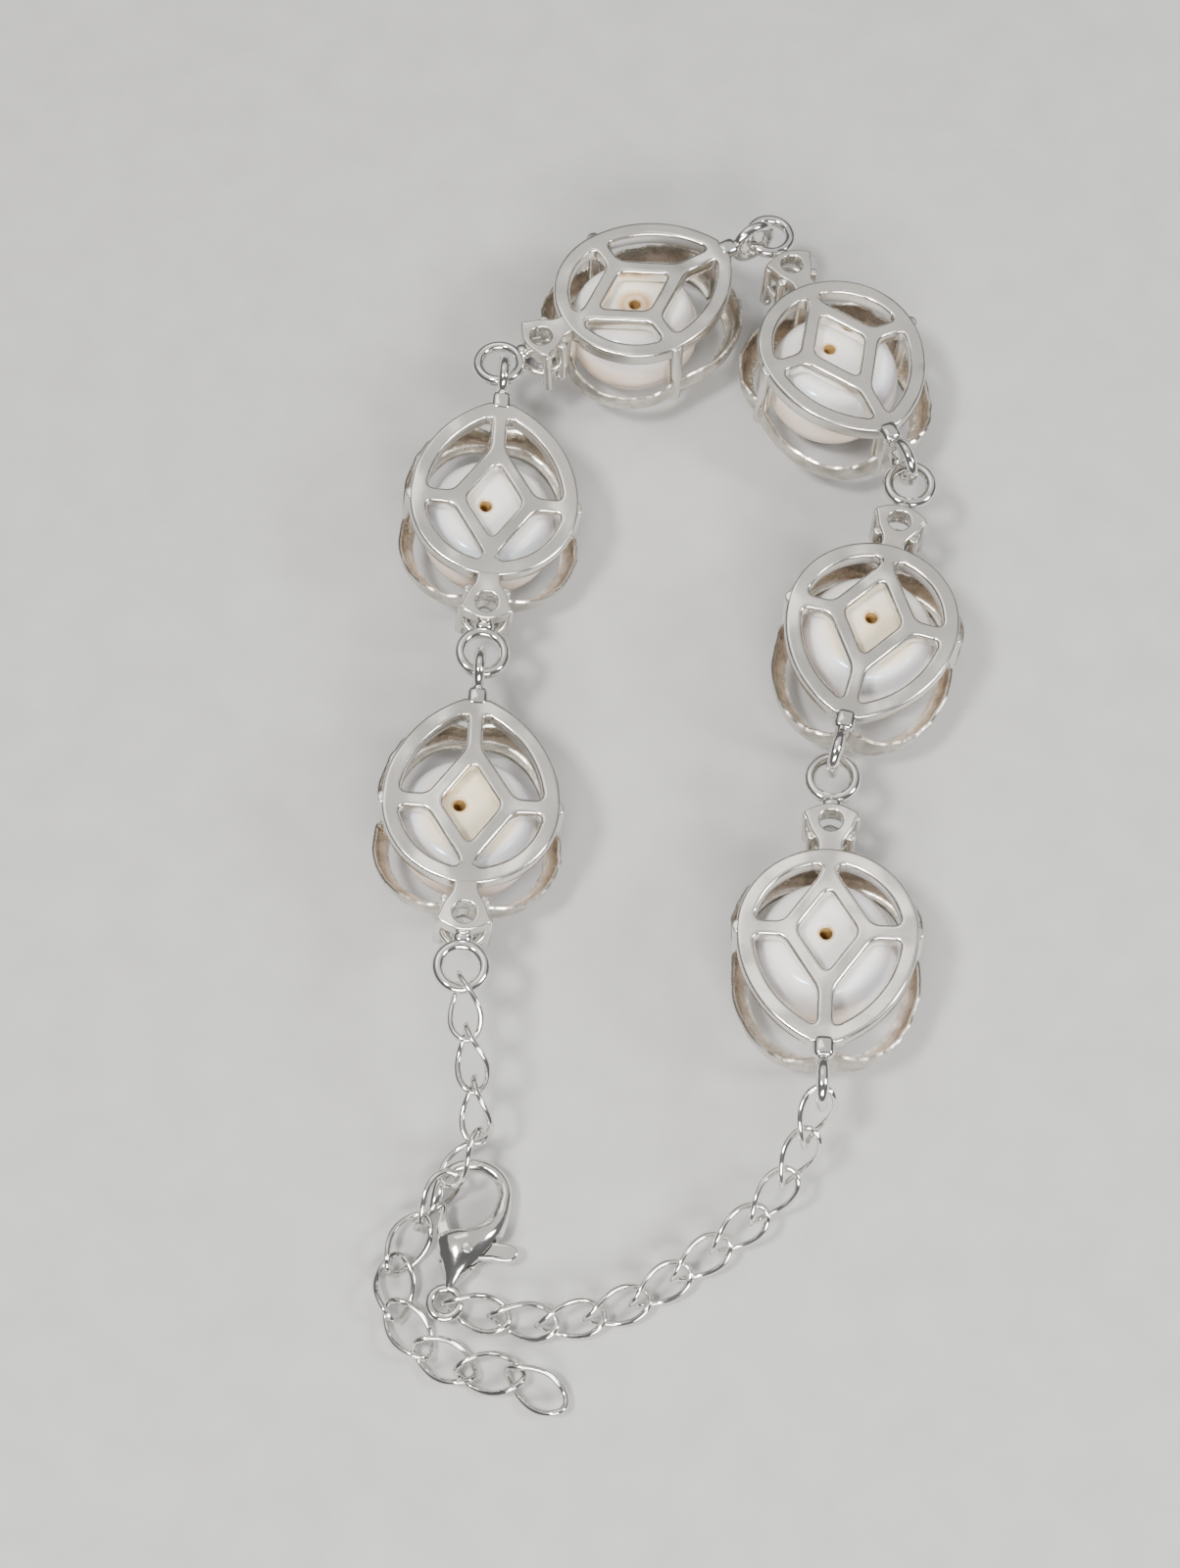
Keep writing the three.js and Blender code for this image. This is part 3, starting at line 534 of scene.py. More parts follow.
# how far each rim bows out, draws in and rises on its way from the side post to the end post
PETAL_RIM_LINE = {
    (1, 1): (0.25, 0.6, 0.5),
    (1, -1): (0.15, 0.2, 0.2),
    (-1, 1): (0.3, 0.3, 0.4),
    (-1, -1): (0.3, 0.3, 0.45),
}
print("petals:", len(PETAL_RIM_LINE))

# %% [markdown]
# ## One petal
# The section is a curve with a wall that grows thinner towards the rim. A bmesh spin turns it through the
# petal's own arc, round a centre that is shifted so that the cup meets both posts. Two noises then lift and
# push the rim a little, more the higher a point lies, which gives the uneven edge of a cast flower.


# %% Spin one petal
def petal_section(rim, steps=7, thick_root=0.40, thick_rim=0.22):
    a = Vector((rim - PETAL_REACH, -PETAL_ROOT))
    b = Vector((rim + 0.2, -PETAL_ROOT))
    c = Vector((rim + 0.02, -PETAL_RIM + 0.08))
    outer, inner = [], []
    for i in range(steps + 1):
        t = i / steps
        point = a * (1 - t) ** 2 + b * (2 * t * (1 - t)) + c * t**2
        slope = ((b - a) * (1 - t) + (c - b) * t).normalized()
        across = Vector((slope.y, -slope.x)) * (thick_root + (thick_rim - thick_root) * t) / 2
        outer.append(point + across)
        inner.insert(0, point - across)
    crown = c + (c - b).normalized() * thick_rim * 0.4
    return outer + [crown] + inner


def petal_mesh(side_x, side_y, seed):
    reach = ROUND_END if side_x < 0 else TIP
    # the centre of the arc, so that it meets the posts and stands out by the bulge between them
    middle = (HALF_WIDTH + PETAL_BULGE[side_x]) / math.sqrt(2)
    shift = (2 * middle**2 - HALF_WIDTH**2) / (4 * middle - 2 * HALF_WIDTH)
    rim = math.sqrt(2) * (middle - shift)
    start = math.asin((PETAL_GAP - shift) / rim)
    bm = bmesh.new()
    loop = [bm.verts.new((p.x, 0, p.y)) for p in petal_section(rim)]
    for first, second in zip(loop, loop[1:] + loop[:1]):
        bm.edges.new((first, second))
    bmesh.ops.rotate(bm, verts=loop, cent=(0, 0, 0), matrix=Matrix.Rotation(start, 3, "Z"))
    bmesh.ops.contextual_create(bm, geom=bm.edges[:])
    turn = math.pi / 2 - 2 * start
    bmesh.ops.spin(
        bm, geom=bm.faces[:], cent=(0, 0, 0), axis=(0, 0, 1), angle=turn, steps=36, use_merge=False
    )
    wide, pinch, rise = PETAL_RIM_LINE[side_x, side_y]
    for vert in bm.verts:
        angle = math.atan2(vert.co.y, vert.co.x)
        height = (vert.co.z + PETAL_ROOT) / (PETAL_ROOT - PETAL_RIM)
        wave = noise.noise(Vector((angle * 3.2, seed * 5.0, 0.3)))
        ripple = noise.noise(Vector((angle * 9.0, seed * 3.0, 1.7)))
        along = 1 - (angle - start) / turn
        weight = max(0.0, height)
        vert.co.z += weight * (rise * along**2 + 0.16 * wave + 0.08 * ripple)
        out = Vector((vert.co.x, vert.co.y, 0)).normalized()
        spread = wide * math.sin(math.pi * min(1, max(0, along))) - pinch * along**3
        vert.co += out * weight * (spread + 0.08 * ripple)
    bmesh.ops.translate(bm, verts=bm.verts[:], vec=(shift, shift, 0))
    bmesh.ops.scale(bm, verts=bm.verts[:], vec=(side_x * reach / HALF_WIDTH, side_y, 1))
    outwards(bm)
    return mesh_from(bm, "petal", True)


# %% [markdown]
# ## Four posts
# The posts are short round bars. Their ends show as small nubs at the band's edge and as lumps beside the
# petals, so a cylinder needs rounded rims there, and a bevel gives them. Posts and petals then go into one
# mesh, as on the casting, with the petals' faces marked for their rougher silver.


# %% Posts with rounded heads
def post_mesh(x, y, top, foot, radius, sides=20, rounding=0.12):
    bm = bmesh.new()
    bmesh.ops.create_cone(
        bm, cap_ends=True, segments=sides, radius1=radius, radius2=radius, depth=top - foot
    )
    rims = [e for e in bm.edges if abs(e.verts[0].co.z - e.verts[1].co.z) < 1e-6]
    bmesh.ops.bevel(
        bm, geom=rims, offset=rounding, affect="EDGES", segments=3, profile=0.5, material=-1
    )
    bmesh.ops.translate(bm, verts=bm.verts[:], vec=(x, y, (top + foot) / 2))
    outwards(bm)
    return mesh_from(bm, "post", True)


POST_FOOT = -PETAL_ROOT - 0.21
POST_HEAD = -0.04
post_places = [
    (0, HALF_WIDTH + NUB - POST),
    (0, POST - HALF_WIDTH - NUB),
    (NUB - ROUND_END, 0),
    (TIP - POST, 0),
]
SATIN, ROUGH, BRIGHT = 0, 1, 2
petals_and_posts = bmesh.new()
for seed, (side_x, side_y) in enumerate(PETAL_RIM_LINE, 1):
    join_mesh(petals_and_posts, petal_mesh(side_x, side_y, seed), ROUGH)
for x, y in post_places:
    join_mesh(petals_and_posts, post_mesh(x, y, POST_HEAD, POST_FOOT, POST), SATIN)
print("petals and posts, faces:", len(petals_and_posts.faces))

# %% [markdown]
# ## The collet
# The small stone sits face down in a collet: a shield-shaped plate with a round hole, a wire rail, and four
# prongs whose beaded tips hold the stone. It is built up as a goldsmith does it, from plate, ring and bars,
# because each of them is one helper that is there already. These are its sizes.

# %% Sizes of the collet
COLLET = 7.4
COLLET_HOLE = 0.72
COLLET_END = 8.6
COLLET_HALF_WIDTH = 1.7
PRONG = 0.3
PRONG_TOP = -0.28
STONE = 1.1
STONE_CIRCLE = STONE + 0.15 + PRONG
GIRDLE_DEPTH = 3.1
RAIL_WIRE = 0.25
RAIL_DEPTH = GIRDLE_DEPTH - 0.95 + 0.12
PRONG_DEPTH = GIRDLE_DEPTH + 0.165 + 0.15 + 0.42
BEAD = 0.4
SHIELD_TOP = -0.03
SHIELD_RIM = 0.12
print("collet rail at depth", round(RAIL_DEPTH, 2))

# %% [markdown]
# ## Rings and beads
# Rings, rails and beads come back all over the bracelet. A torus would do for a ring, but bmesh has no
# operator for it, so a small circle is spun a full turn and merged where the turn closes. A bead is an
# icosphere, which has no poles that catch the light, squashed where it is a lump of solder.


# %% A round wire spun into a ring
def spin_round(bm, steps):
    """Spin everything a full turn about z, and merge it where the turn closes."""
    bmesh.ops.spin(
        bm, geom=bm.verts[:] + bm.edges[:], cent=(0, 0, 0), axis=(0, 0, 1),
        angle=2 * math.pi, steps=steps, use_merge=True,
    )
    bmesh.ops.remove_doubles(bm, verts=bm.verts[:], dist=0.0008)
    outwards(bm)


def ring_mesh(radius, wire, around=48, section=16):
    bm = bmesh.new()
    upright = Matrix.Translation((radius, 0, 0)) @ Matrix.Rotation(math.pi / 2, 4, "X")
    bmesh.ops.create_circle(bm, cap_ends=False, segments=section, radius=wire, matrix=upright)
    spin_round(bm, around)
    return mesh_from(bm, "ring", True)


def moved(mesh, *matrices):
    for matrix in matrices:
        mesh.transform(matrix)
    return mesh


def bead_mesh(radius, centre, squash=(1, 1, 1), detail=3):
    bm = bmesh.new()
    bmesh.ops.create_icosphere(bm, subdivisions=detail, radius=radius)
    bmesh.ops.scale(bm, verts=bm.verts[:], vec=squash)
    bmesh.ops.translate(bm, verts=bm.verts[:], vec=centre)
    return mesh_from(bm, "bead", True)


# %% [markdown]
# ## The shield and its prongs
# The shield is a second plate. Its upper edge is drawn once and mirrored, and a bowed end closes it; the
# photograph shows a shallow notch there, which the bow leaves out. The prongs stand in a circle round the
# stone, two on each side, and each ends in a bead that is drawn over the stone's edge.

# %% Shield, rail, prongs and beads
# the shield's upper edge, from the band outwards, round the hole and out to its corner
upper = [
    Vector(place)
    for place in (
        (-5.0, 0.76), (-5.75, 0.74), (-6.05, 0.82), (-6.35, 1.00), (-6.7, 1.22), (-7.1, 1.39),
        (-7.45, 1.50), (-7.66, 1.59), (-7.82, 1.68), (-7.98, 1.68),
    )
]
bow = []
for i in range(1, 10):
    t = 1 - 2 * i / 10
    bow.append(Vector((-COLLET_END + 0.62 * abs(t) ** 1.9, 0.98 * COLLET_HALF_WIDTH * t)))
shield = upper + bow + [Vector((p.x, -p.y)) for p in upper[::-1]]
hole = arc(-COLLET, 0, COLLET_HOLE, COLLET_HOLE, 0, 360, 24)[:-1]
collet = bmesh.new()
join_mesh(collet, plate([shield, hole], SHIELD_TOP, PLATE - 0.06, SHIELD_RIM))
rail = ring_mesh(STONE_CIRCLE - 0.15, RAIL_WIRE, 36, 10)
join_mesh(collet, moved(rail, Matrix.Translation((-COLLET, 0, -RAIL_DEPTH))))
reach = STONE_CIRCLE - 0.24
for degrees in (52, 105, -52, -105):
    x = math.cos(math.radians(degrees))
    y = math.sin(math.radians(degrees))
    place = (STONE_CIRCLE * x - COLLET, STONE_CIRCLE * y)
    join_mesh(collet, post_mesh(*place, PRONG_TOP, -PRONG_DEPTH, PRONG, 14, 0.1))
    join_mesh(collet, bead_mesh(BEAD, (reach * x - COLLET, reach * y, -PRONG_DEPTH), detail=2))
print("collet faces:", len(collet.faces))

# %% [markdown]
# ## Joining rings and solder
# Past the collet a ring lies flat, and past the tip a ring stands on edge, so that neighbours hang ring in
# ring. Each is soldered on, and the solder shows as a small bright lump. Metaballs would melt the lumps
# together, but they are hard to size, and squashed beads and a well rounded block look the same here.

# %% Rings and their solder
RING_DEPTH = -0.9
RING_WIRE = 0.375
FLAT_RING = 1.43
FLAT_RING_PLACE = (-10.7, 0, RING_DEPTH)
EDGE_RING = 1.33
EDGE_RING_PLACE = (9.6, 0, RING_DEPTH)
TIP_BLOCK = (1.5, 1.35, 1.0)
TIP_BLOCK_PLACE = (7.5, 0, -0.42)
TIP_BLOCK_ROUNDING = 0.42

rings = bmesh.new()
join_mesh(rings, moved(ring_mesh(FLAT_RING, RING_WIRE), Matrix.Translation(FLAT_RING_PLACE)))
on_edge = Matrix.Rotation(math.pi / 2, 4, "X")
join_mesh(rings, moved(ring_mesh(EDGE_RING, RING_WIRE), on_edge, Matrix.Translation(EDGE_RING_PLACE)))
join_mesh(rings, bead_mesh(0.5, (-8.85, 0, -0.8), (1.0, 1.25, 0.75)))
block = bmesh.new()
bmesh.ops.create_cube(block, size=1)
bmesh.ops.scale(block, verts=block.verts[:], vec=TIP_BLOCK)
bmesh.ops.bevel(
    block, geom=block.edges[:], offset=TIP_BLOCK_ROUNDING, affect="EDGES",
    segments=4, profile=0.5, material=-1,
)
bmesh.ops.translate(block, verts=block.verts[:], vec=TIP_BLOCK_PLACE)
outwards(block)
join_mesh(rings, mesh_from(block, "solder", True))
join_mesh(rings, bead_mesh(0.42, (8.25, 0, -0.75), (1.1, 1.1, 0.9)))
print("ring faces:", len(rings.faces))

# %% [markdown]
# ## One station's metal
# All of a station's metal is cast or soldered, so it is one piece. It is gathered once and laid six times.
# Its faces name one of three finishes: satin for plate, posts and collet, rough for the petals, and bright
# for the rings.

# %% Gather the metal in one mesh
station = bmesh.new()
join_mesh(station, back_plate, SATIN)
for part, finish in ((petals_and_posts, None), (collet, SATIN), (rings, BRIGHT)):
    join_mesh(station, mesh_from(part, "part"), finish)
station_metal = mesh_from(station, "station_metal")
print("station faces:", len(station_metal.polygons))

# %% [markdown]
# ## The pearls
# A button pearl is a squashed ball with a flat back, ground to sit low and drilled for a peg. Two squashed
# spheres would leave a seam at the girdle, so its half section is spun a full turn. The section runs from the
# middle of the domed front, over the girdle, to the ground back and down into the hole. Attributes mark the
# ground back, the hole and the flanks for the nacre's shader, which paints the flanks rosier and darker,
# partly as painted shade.

# %% Spin the pearl
PEARL = 4.5
PEARL_BACK = 2.9
BACK_HEIGHT = 2.8
FRONT_HEIGHT = 3.74
DRILL = 0.40
DRILL_DEPTH = 2.4
PEARL_CLEARANCE = 0.3
PEARL_DEPTH = -(PLATE + PEARL_CLEARANCE + BACK_HEIGHT)
BACK_RINGS = (2.2, 1.7, 1.45, 1.25, 1.05, 0.85, 0.65, DRILL + 0.08)

section = []
for i in range(21):
    a = math.pi / 2 * i / 20
    section.append((PEARL * math.sin(a), -FRONT_HEIGHT * math.cos(a)))
for i in range(1, 15):
    a = math.pi / 2 * i / 14
    section.append((PEARL_BACK + (PEARL - PEARL_BACK) * math.cos(a), BACK_HEIGHT * math.sin(a)))
section += [(radius, BACK_HEIGHT) for radius in BACK_RINGS]
section += [(DRILL, BACK_HEIGHT - depth) for depth in (0.07, 1.0, DRILL_DEPTH - 0.1)]
section.append((0, BACK_HEIGHT - DRILL_DEPTH))
bm = bmesh.new()
line = [bm.verts.new((radius, 0, height)) for radius, height in section]
for first, second in zip(line, line[1:]):
    bm.edges.new((first, second))
spin_round(bm, 64)


def clamped(value):
    return min(1.0, max(0.0, value))


def is_on_back(place, radius, reach):
    """Whether a point of the pearl lies on its ground back or in its hole."""
    return place.z > BACK_HEIGHT - DRILL_DEPTH - 0.05 and radius < reach


ground_layer = bm.verts.layers.float.new("ground")
drilled_layer = bm.verts.layers.float.new("drilled")
# the flank mark is 0 on the shoulder and 1 from the girdle down; there the shader paints the pearl rosier and
# darker, partly as painted shade
rosy_shaded_flank_layer = bm.verts.layers.float.new("rosy_shaded_flank")
for vert in bm.verts:
    radius = math.hypot(vert.co.x, vert.co.y)
    vert[rosy_shaded_flank_layer] = clamped((1.9 - vert.co.z) / 1.7) if radius > 1 else 0.0
    if is_on_back(vert.co, radius, 3.4):
        vert[ground_layer] = clamped((3.35 - radius) / 0.5)
        vert[drilled_layer] = clamped((0.55 - radius) / 0.1)
pearl_template = mesh_from(bm, "pearl_template", True)
print("pearl faces:", len(pearl_template.polygons))

# %% [markdown]
# ## Lay the six stations
# The stations lie face down on the table, each with its own heading, lift and roll. They could be dropped
# there by a simulation, but not as in the photograph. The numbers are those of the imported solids, so every
# fine piece covers its solid.

# %% Where each station lies
# x, y, z in millimetres, then heading, lift and roll in degrees
STATIONS = [
    (-12.77, -4.29, 7.96, 88, -2, 5),
    (-11.64, 17.38, 7.94, 87, 2, 7),
    (-2.34, 33.77, 7.98, 31, -2, -3),
    (11.50, 29.39, 7.98, -66, 2, -4),
    (12.83, 8.70, 8.00, -106, 0, 0),
    (9.12, -12.76, 7.98, -94, 2, 3),
]
SCORCHED_PEARL = 3
HALO_RADIUS = 0.85
# how far each pearl's hole is drilled off its middle, across and along the table
DRILLED_OFF = [(-0.68, 0.42), (-0.46, 0.23), (0.05, -0.1), (-0.5, 0.66), (0.06, 0.66), (-0.05, 0.32)]


def station_matrix(x, y, z, heading, lift, roll):
    turn = Matrix.Rotation(math.radians(heading), 4, "Z")
    turn = turn @ Matrix.Rotation(-math.radians(lift), 4, "Y") @ Matrix.Rotation(math.radians(roll), 4, "X")
    return Matrix.Translation((x, y, z)) @ turn


print("stations to lay:", len(STATIONS))

# %% [markdown]
# ## Drill each pearl where it was drilled
# No two pearls are drilled in quite the same place, and the holes show through the lozenges. A hole cut with
# a Boolean would break up the even faces of the back. Sliding the points of the back sideways, most near the
# hole and not at all at the back's edge, moves a hole that is there and leaves the rest of the pearl alone.


# %% Slide the hole over the back
def drilled_pearl(off, matrix):
    """A copy of the pearl with its hole slid over the flat back."""
    slide = matrix.to_3x3().inverted() @ Vector((*off, 0))
    slide.z = 0
    mesh = pearl_template.copy()
    for vert in mesh.vertices:
        radius = math.hypot(vert.co.x, vert.co.y)
        if is_on_back(vert.co, radius, PEARL_BACK):
            vert.co += slide * min(1.0, (PEARL_BACK - radius) / 1.45)
    return mesh


def mark_halo(pearl, strength):
    """The ring round the hole, strongest at its own radius and gone 0.6 mm from it."""
    halo = pearl.data.attributes.new("halo", "FLOAT", "POINT")
    for vert, point in zip(pearl_template.vertices, halo.data):
        radius = math.hypot(vert.co.x, vert.co.y)
        on_top = vert.co.z > BACK_HEIGHT - 0.1
        point.value = strength * max(0.0, 1 - abs(radius - HALO_RADIUS) / 0.6) if on_top else 0.0


print("pearls to drill:", len(DRILLED_OFF))

# %% [markdown]
# ## Metal and pearl of every station
# One loop lays metal and pearl of each station with the same matrix, so they can't part. Each pearl is also
# turned about its own axis, so their faces don't line up. How far each fine pearl is from its solid's box is
# printed, and shows at once if a station were misplaced.

# %% Lay metal and pearls
for number, lie in enumerate(STATIONS, 1):
    matrix = station_matrix(*lie)
    metals = [satin_silver, petal_silver, bright_silver]
    place_piece(f"station_{number}", station_metal, matrix, metals, f"setting_{number}")
    turned = matrix @ Matrix.Translation((0, 0, PEARL_DEPTH)) @ Matrix.Rotation(number * 1.1, 4, "Z")
    drilled = drilled_pearl(DRILLED_OFF[number - 1], turned)
    pearl = place_piece(f"button_pearl_{number}", drilled, turned, [nacre], f"pearl_{number}")
    bpy.data.meshes.remove(drilled)
    mark_halo(pearl, 0.9 if number == SCORCHED_PEARL else 0.15)
    low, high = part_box(f"pearl_{number}")
    fine = [v.co for v in pearl.data.vertices]
    middle = Vector([(min(c[i] for c in fine) + max(c[i] for c in fine)) / 2 for i in range(3)])
    error = (middle - (low + high) / 2).length / MM
    print("station", number, "pearl off its solid by", round(error, 3), "mm")

# %% [markdown]
# ## Chain links
# A curb link is an oval of round wire, twisted a quarter turn along its length, so that neighbours cross
# square. A curve with a round bevel could be it, but the ring helper gives clean faces at once: its circle is
# stretched to the oval, with the wire kept round, and each point is turned by how far along it lies.

# %% Bend and twist a fine link
SOLID_WIRE = 0.25
LINK_HALF_LENGTH = 4.6 / 2 - SOLID_WIRE
LINK_HALF_WIDTH = 2.8 / 2 - SOLID_WIRE
LINK_WIRE = 0.20

link_template = ring_mesh(1.0, LINK_WIRE, 40, 12)
for vert in link_template.vertices:
    angle = math.atan2(vert.co.y, vert.co.x)
    out = math.hypot(vert.co.x, vert.co.y) - 1
    slope = Vector((LINK_HALF_WIDTH * math.cos(angle), LINK_HALF_LENGTH * math.sin(angle))).normalized()
    x = LINK_HALF_LENGTH * math.cos(angle) + out * slope.x
    y = LINK_HALF_WIDTH * math.sin(angle) + out * slope.y
    twist = Matrix.Rotation(-math.pi / 4 * x / LINK_HALF_LENGTH, 3, "X")
    vert.co = twist @ Vector((x, y, vert.co.z))
print("link faces:", len(link_template.polygons))

# %% [markdown]
# ## Where each link lies
# The links lie as they fell, and no formula gives their turns. But each solid link lies in its place, so its
# own main axes, from the spread of its corners, give the matrix for the fine link: the longest axis is its
# length and the next its width.


# %% Lay a fine link on each solid link
def link_matrix(node):
    """The matrix that lays the fine link on this solid one."""
    corners = np.array([tuple(v.co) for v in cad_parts[node].data.vertices]) / MM
    unique = np.unique(np.round(corners, 3), axis=0)
    centre = unique.mean(0)
    _, _, axes = np.linalg.svd(unique - centre, full_matrices=False)
    along, across = Vector(axes[0]), Vector(axes[1])
    up = along.cross(across)
    matrix = Matrix((along, across, up)).transposed().to_4x4()
    return Matrix.Translation(centre) @ matrix


chain_names = [f"extender_link_{i}" for i in range(1, 12)] + [f"clasp_chain_link_{i}" for i in range(1, 11)]
for name in chain_names:
    place_piece(f"fine_{name}", link_template, link_matrix(name), [bright_silver], name)
print("links laid:", len(chain_names))

# %% [markdown]
# ## The lobster clasp
# The clasp is one cast piece: an eye, a swelling body, and a hook that leaves the body on one side and
# bends round. A subdivided box would need much pulling to get there. Instead each row below is an oval
# section between a left and a right point of the outline, and the hook's sections follow from an angle.

# %% Sections of the clasp's body and hook
CLASP_LENGTH = 9.1
CLASP_HALF = 2.5
LOOP = Vector((0.15 * CLASP_HALF, 0.75 * CLASP_LENGTH))
LOOP_OUT = (CLASP_HALF, CLASP_LENGTH - LOOP.y)
HOOK_WIRE = 0.85
HOOK_HALF_THICKNESS = 0.46

# left x, left y, right x, right y as shares of the clasp's half width and length, then half the
# thickness in millimetres
SECTIONS = [
    (-0.10, 0.10, 0.18, 0.10, 0.36), (-0.13, 0.15, 0.26, 0.15, 0.50), (-0.24, 0.21, 0.44, 0.21, 0.78),
    (-0.36, 0.27, 0.64, 0.28, 1.00), (-0.48, 0.33, 0.82, 0.35, 1.16), (-0.57, 0.385, 0.96, 0.41, 1.26),
    (-0.58, 0.43, 1.05, 0.47, 1.27), (-0.34, 0.468, 1.10, 0.51, 1.16), (0.05, 0.495, 1.13, 0.55, 0.98),
    (0.38, 0.545, 1.15, 0.59, 0.80), (0.60, 0.60, 1.16, 0.63, 0.64), (0.74, 0.665, 1.16, 0.68, 0.52),
]


def clasp_point(x, y):
    return Vector((x * CLASP_HALF, y * CLASP_LENGTH))


ovals = [(clasp_point(a, b), clasp_point(c, d), h) for a, b, c, d, h in SECTIONS]
for step in range(1, 16):
    angle = math.radians(-6 + 186 * step / 15)
    out = Vector((LOOP_OUT[0] * math.cos(angle), LOOP_OUT[1] * math.sin(angle)))
    inner = Vector(((LOOP_OUT[0] - HOOK_WIRE) * math.cos(angle), (LOOP_OUT[1] - HOOK_WIRE) * math.sin(angle)))
    ovals.append((LOOP + inner, LOOP + out, HOOK_HALF_THICKNESS))
ovals.append((clasp_point(-0.52, 0.68), clasp_point(-0.85, 0.67), 0.40))
ovals.append((clasp_point(-0.60, 0.625), clasp_point(-0.83, 0.615), 0.30))
ovals.append((clasp_point(-0.70, 0.59), clasp_point(-0.79, 0.585), 0.12))
print("clasp sections:", len(ovals))

# %% [markdown]
# ## The clasp's body
# Each section becomes a ring of twenty points, and bridging ring to ring gives the whole smooth shape.


# %% Bridge the sections into one body
def oval_ring(bm, left, right, half_thickness, sides=20):
    centre = (left + right) / 2
    across = right - left
    turn = math.atan2(across.y, across.x)
    matrix = Matrix.Translation((centre.x, centre.y, 0)) @ Matrix.Rotation(turn, 4, "Z")
    matrix = matrix @ Matrix.Rotation(math.pi / 2, 4, "X")
    matrix = matrix @ Matrix.Diagonal((across.length / 2, half_thickness, 1, 1))
    made = bmesh.ops.create_circle(bm, cap_ends=False, segments=sides, radius=1, matrix=matrix)
    return {edge for vert in made["verts"] for edge in vert.link_edges}


bm = bmesh.new()
loops = [oval_ring(bm, *oval) for oval in ovals]
for first, second in zip(loops, loops[1:]):
    bmesh.ops.bridge_loops(bm, edges=list(first | second))
for end in (loops[0], loops[-1]):
    bmesh.ops.contextual_create(bm, geom=list(end))
outwards(bm)
clasp_solid = mesh_from(bm, "clasp_solid", True)
print("clasp body faces:", len(clasp_solid.polygons))

# %% [markdown]
# ## The slot for the lever
# The lever swings in a slot that is sawn through the middle of the body. A flat face is extruded into a thick
# block of the slot's shape, and a Boolean modifier takes it away. The modifier runs on two helper objects,
# which are removed again.

# %% Cut the slot
# corners as shares of the clasp's half width and length
SLOT = [
    (-0.9, 0.33), (-0.1, 0.25), (0.32, 0.235), (0.9, 0.24), (1.4, 0.26),
    (1.4, 0.5), (0.75, 0.48), (0.32, 0.48), (0.1, 0.6), (-0.9, 0.6),
]
SLOT_HALF_DEPTH = 0.65
bm = bmesh.new()
face = bm.faces.new([bm.verts.new((*clasp_point(x, y), -SLOT_HALF_DEPTH)) for x, y in SLOT])
top = bmesh.ops.extrude_face_region(bm, geom=[face])
lifted = [item for item in top["geom"] if isinstance(item, bmesh.types.BMVert)]
bmesh.ops.translate(bm, verts=lifted, vec=(0, 0, 2 * SLOT_HALF_DEPTH))
outwards(bm)
slot_solid = mesh_from(bm, "slot_solid")

body_holder = bpy.data.objects.new("clasp_holder", clasp_solid)
slot_holder = bpy.data.objects.new("slot_holder", slot_solid)
for holder in (body_holder, slot_holder):
    bpy.context.scene.collection.objects.link(holder)
cut = body_holder.modifiers.new("slot", "BOOLEAN")
cut.operation = "DIFFERENCE"
cut.solver = "EXACT"
cut.object = slot_holder
graph = bpy.context.evaluated_depsgraph_get()
slotted = bpy.data.meshes.new_from_object(body_holder.evaluated_get(graph))
for holder in (body_holder, slot_holder):
    bpy.data.objects.remove(holder)
print("slotted clasp faces:", len(slotted.polygons))

# %% [markdown]
# ## Eye and pin
# The eye that the chain's last link hangs in is a ring, and the pin that the lever turns on is a post, so
# both helpers serve again. The matrix is the clasp's place among the solids.

# %% Add the eye and the pin, and lay the clasp
PIVOT = clasp_point(0.32, 0.363)
PIN = 0.35
PIN_HALF_LENGTH = 1.22
EYE = 0.9
EYE_WIRE = 0.3
CLASP_PLACE = (-14.075, -34.186, 1.3)
CLASP_TURN = math.radians(80.6 - 90)
CLASP_MATRIX = Matrix.Translation(CLASP_PLACE) @ Matrix.Rotation(CLASP_TURN, 4, "Z")

clasp = bmesh.new()
join_mesh(clasp, slotted)
join_mesh(clasp, ring_mesh(EYE, EYE_WIRE, 40, 14))
join_mesh(clasp, post_mesh(PIVOT.x, PIVOT.y, PIN_HALF_LENGTH, -PIN_HALF_LENGTH, PIN, 18, 0.1))
clasp_template = mesh_from(clasp, "clasp_template")
place_piece("lobster_clasp", clasp_template, CLASP_MATRIX, [bright_silver], "clasp_body", crease=50)
print("clasp faces:", len(clasp_template.polygons))

# %% [markdown]
# ## The clasp's lever
# The lever is a flat gate with a hub on the pin and a thumb tab outside the body. It is stamped from sheet
# and tumbled, so the plate with rounded rims is right for it too, with the pin's bore left open. It rides on
# its own body, so it swings about the pin.

# %% Lever
LEVER_THICKNESS = 0.8
LEVER_RIM = 0.16
HUB = 0.8
BORE = 0.475
# the gate's side from its end to the hub, then the tab and back, as shares like the clasp's sections
GATE_SIDE = [(-0.47, 0.655), (-0.53, 0.60), (-0.56, 0.50), (-0.50, 0.44), (-0.30, 0.37)]
TAB_AND_BACK = [
    (0.95, 0.33), (1.12, 0.324), (1.28, 0.326), (1.41, 0.338), (1.50, 0.36), (1.54, 0.386),
    (1.53, 0.415), (1.46, 0.438), (1.36, 0.45), (1.22, 0.453), (1.08, 0.452), (0.62, 0.43),
    (0.10, 0.44), (-0.20, 0.50), (-0.32, 0.57), (-0.38, 0.655),
]
lever = [clasp_point(x, y) for x, y in GATE_SIDE]
lever += arc(PIVOT.x, PIVOT.y, HUB, HUB, 210, 330, 12)
lever += [clasp_point(x, y) for x, y in TAB_AND_BACK]
bore = arc(PIVOT.x, PIVOT.y, BORE, BORE, 0, 360, 20)[:-1]
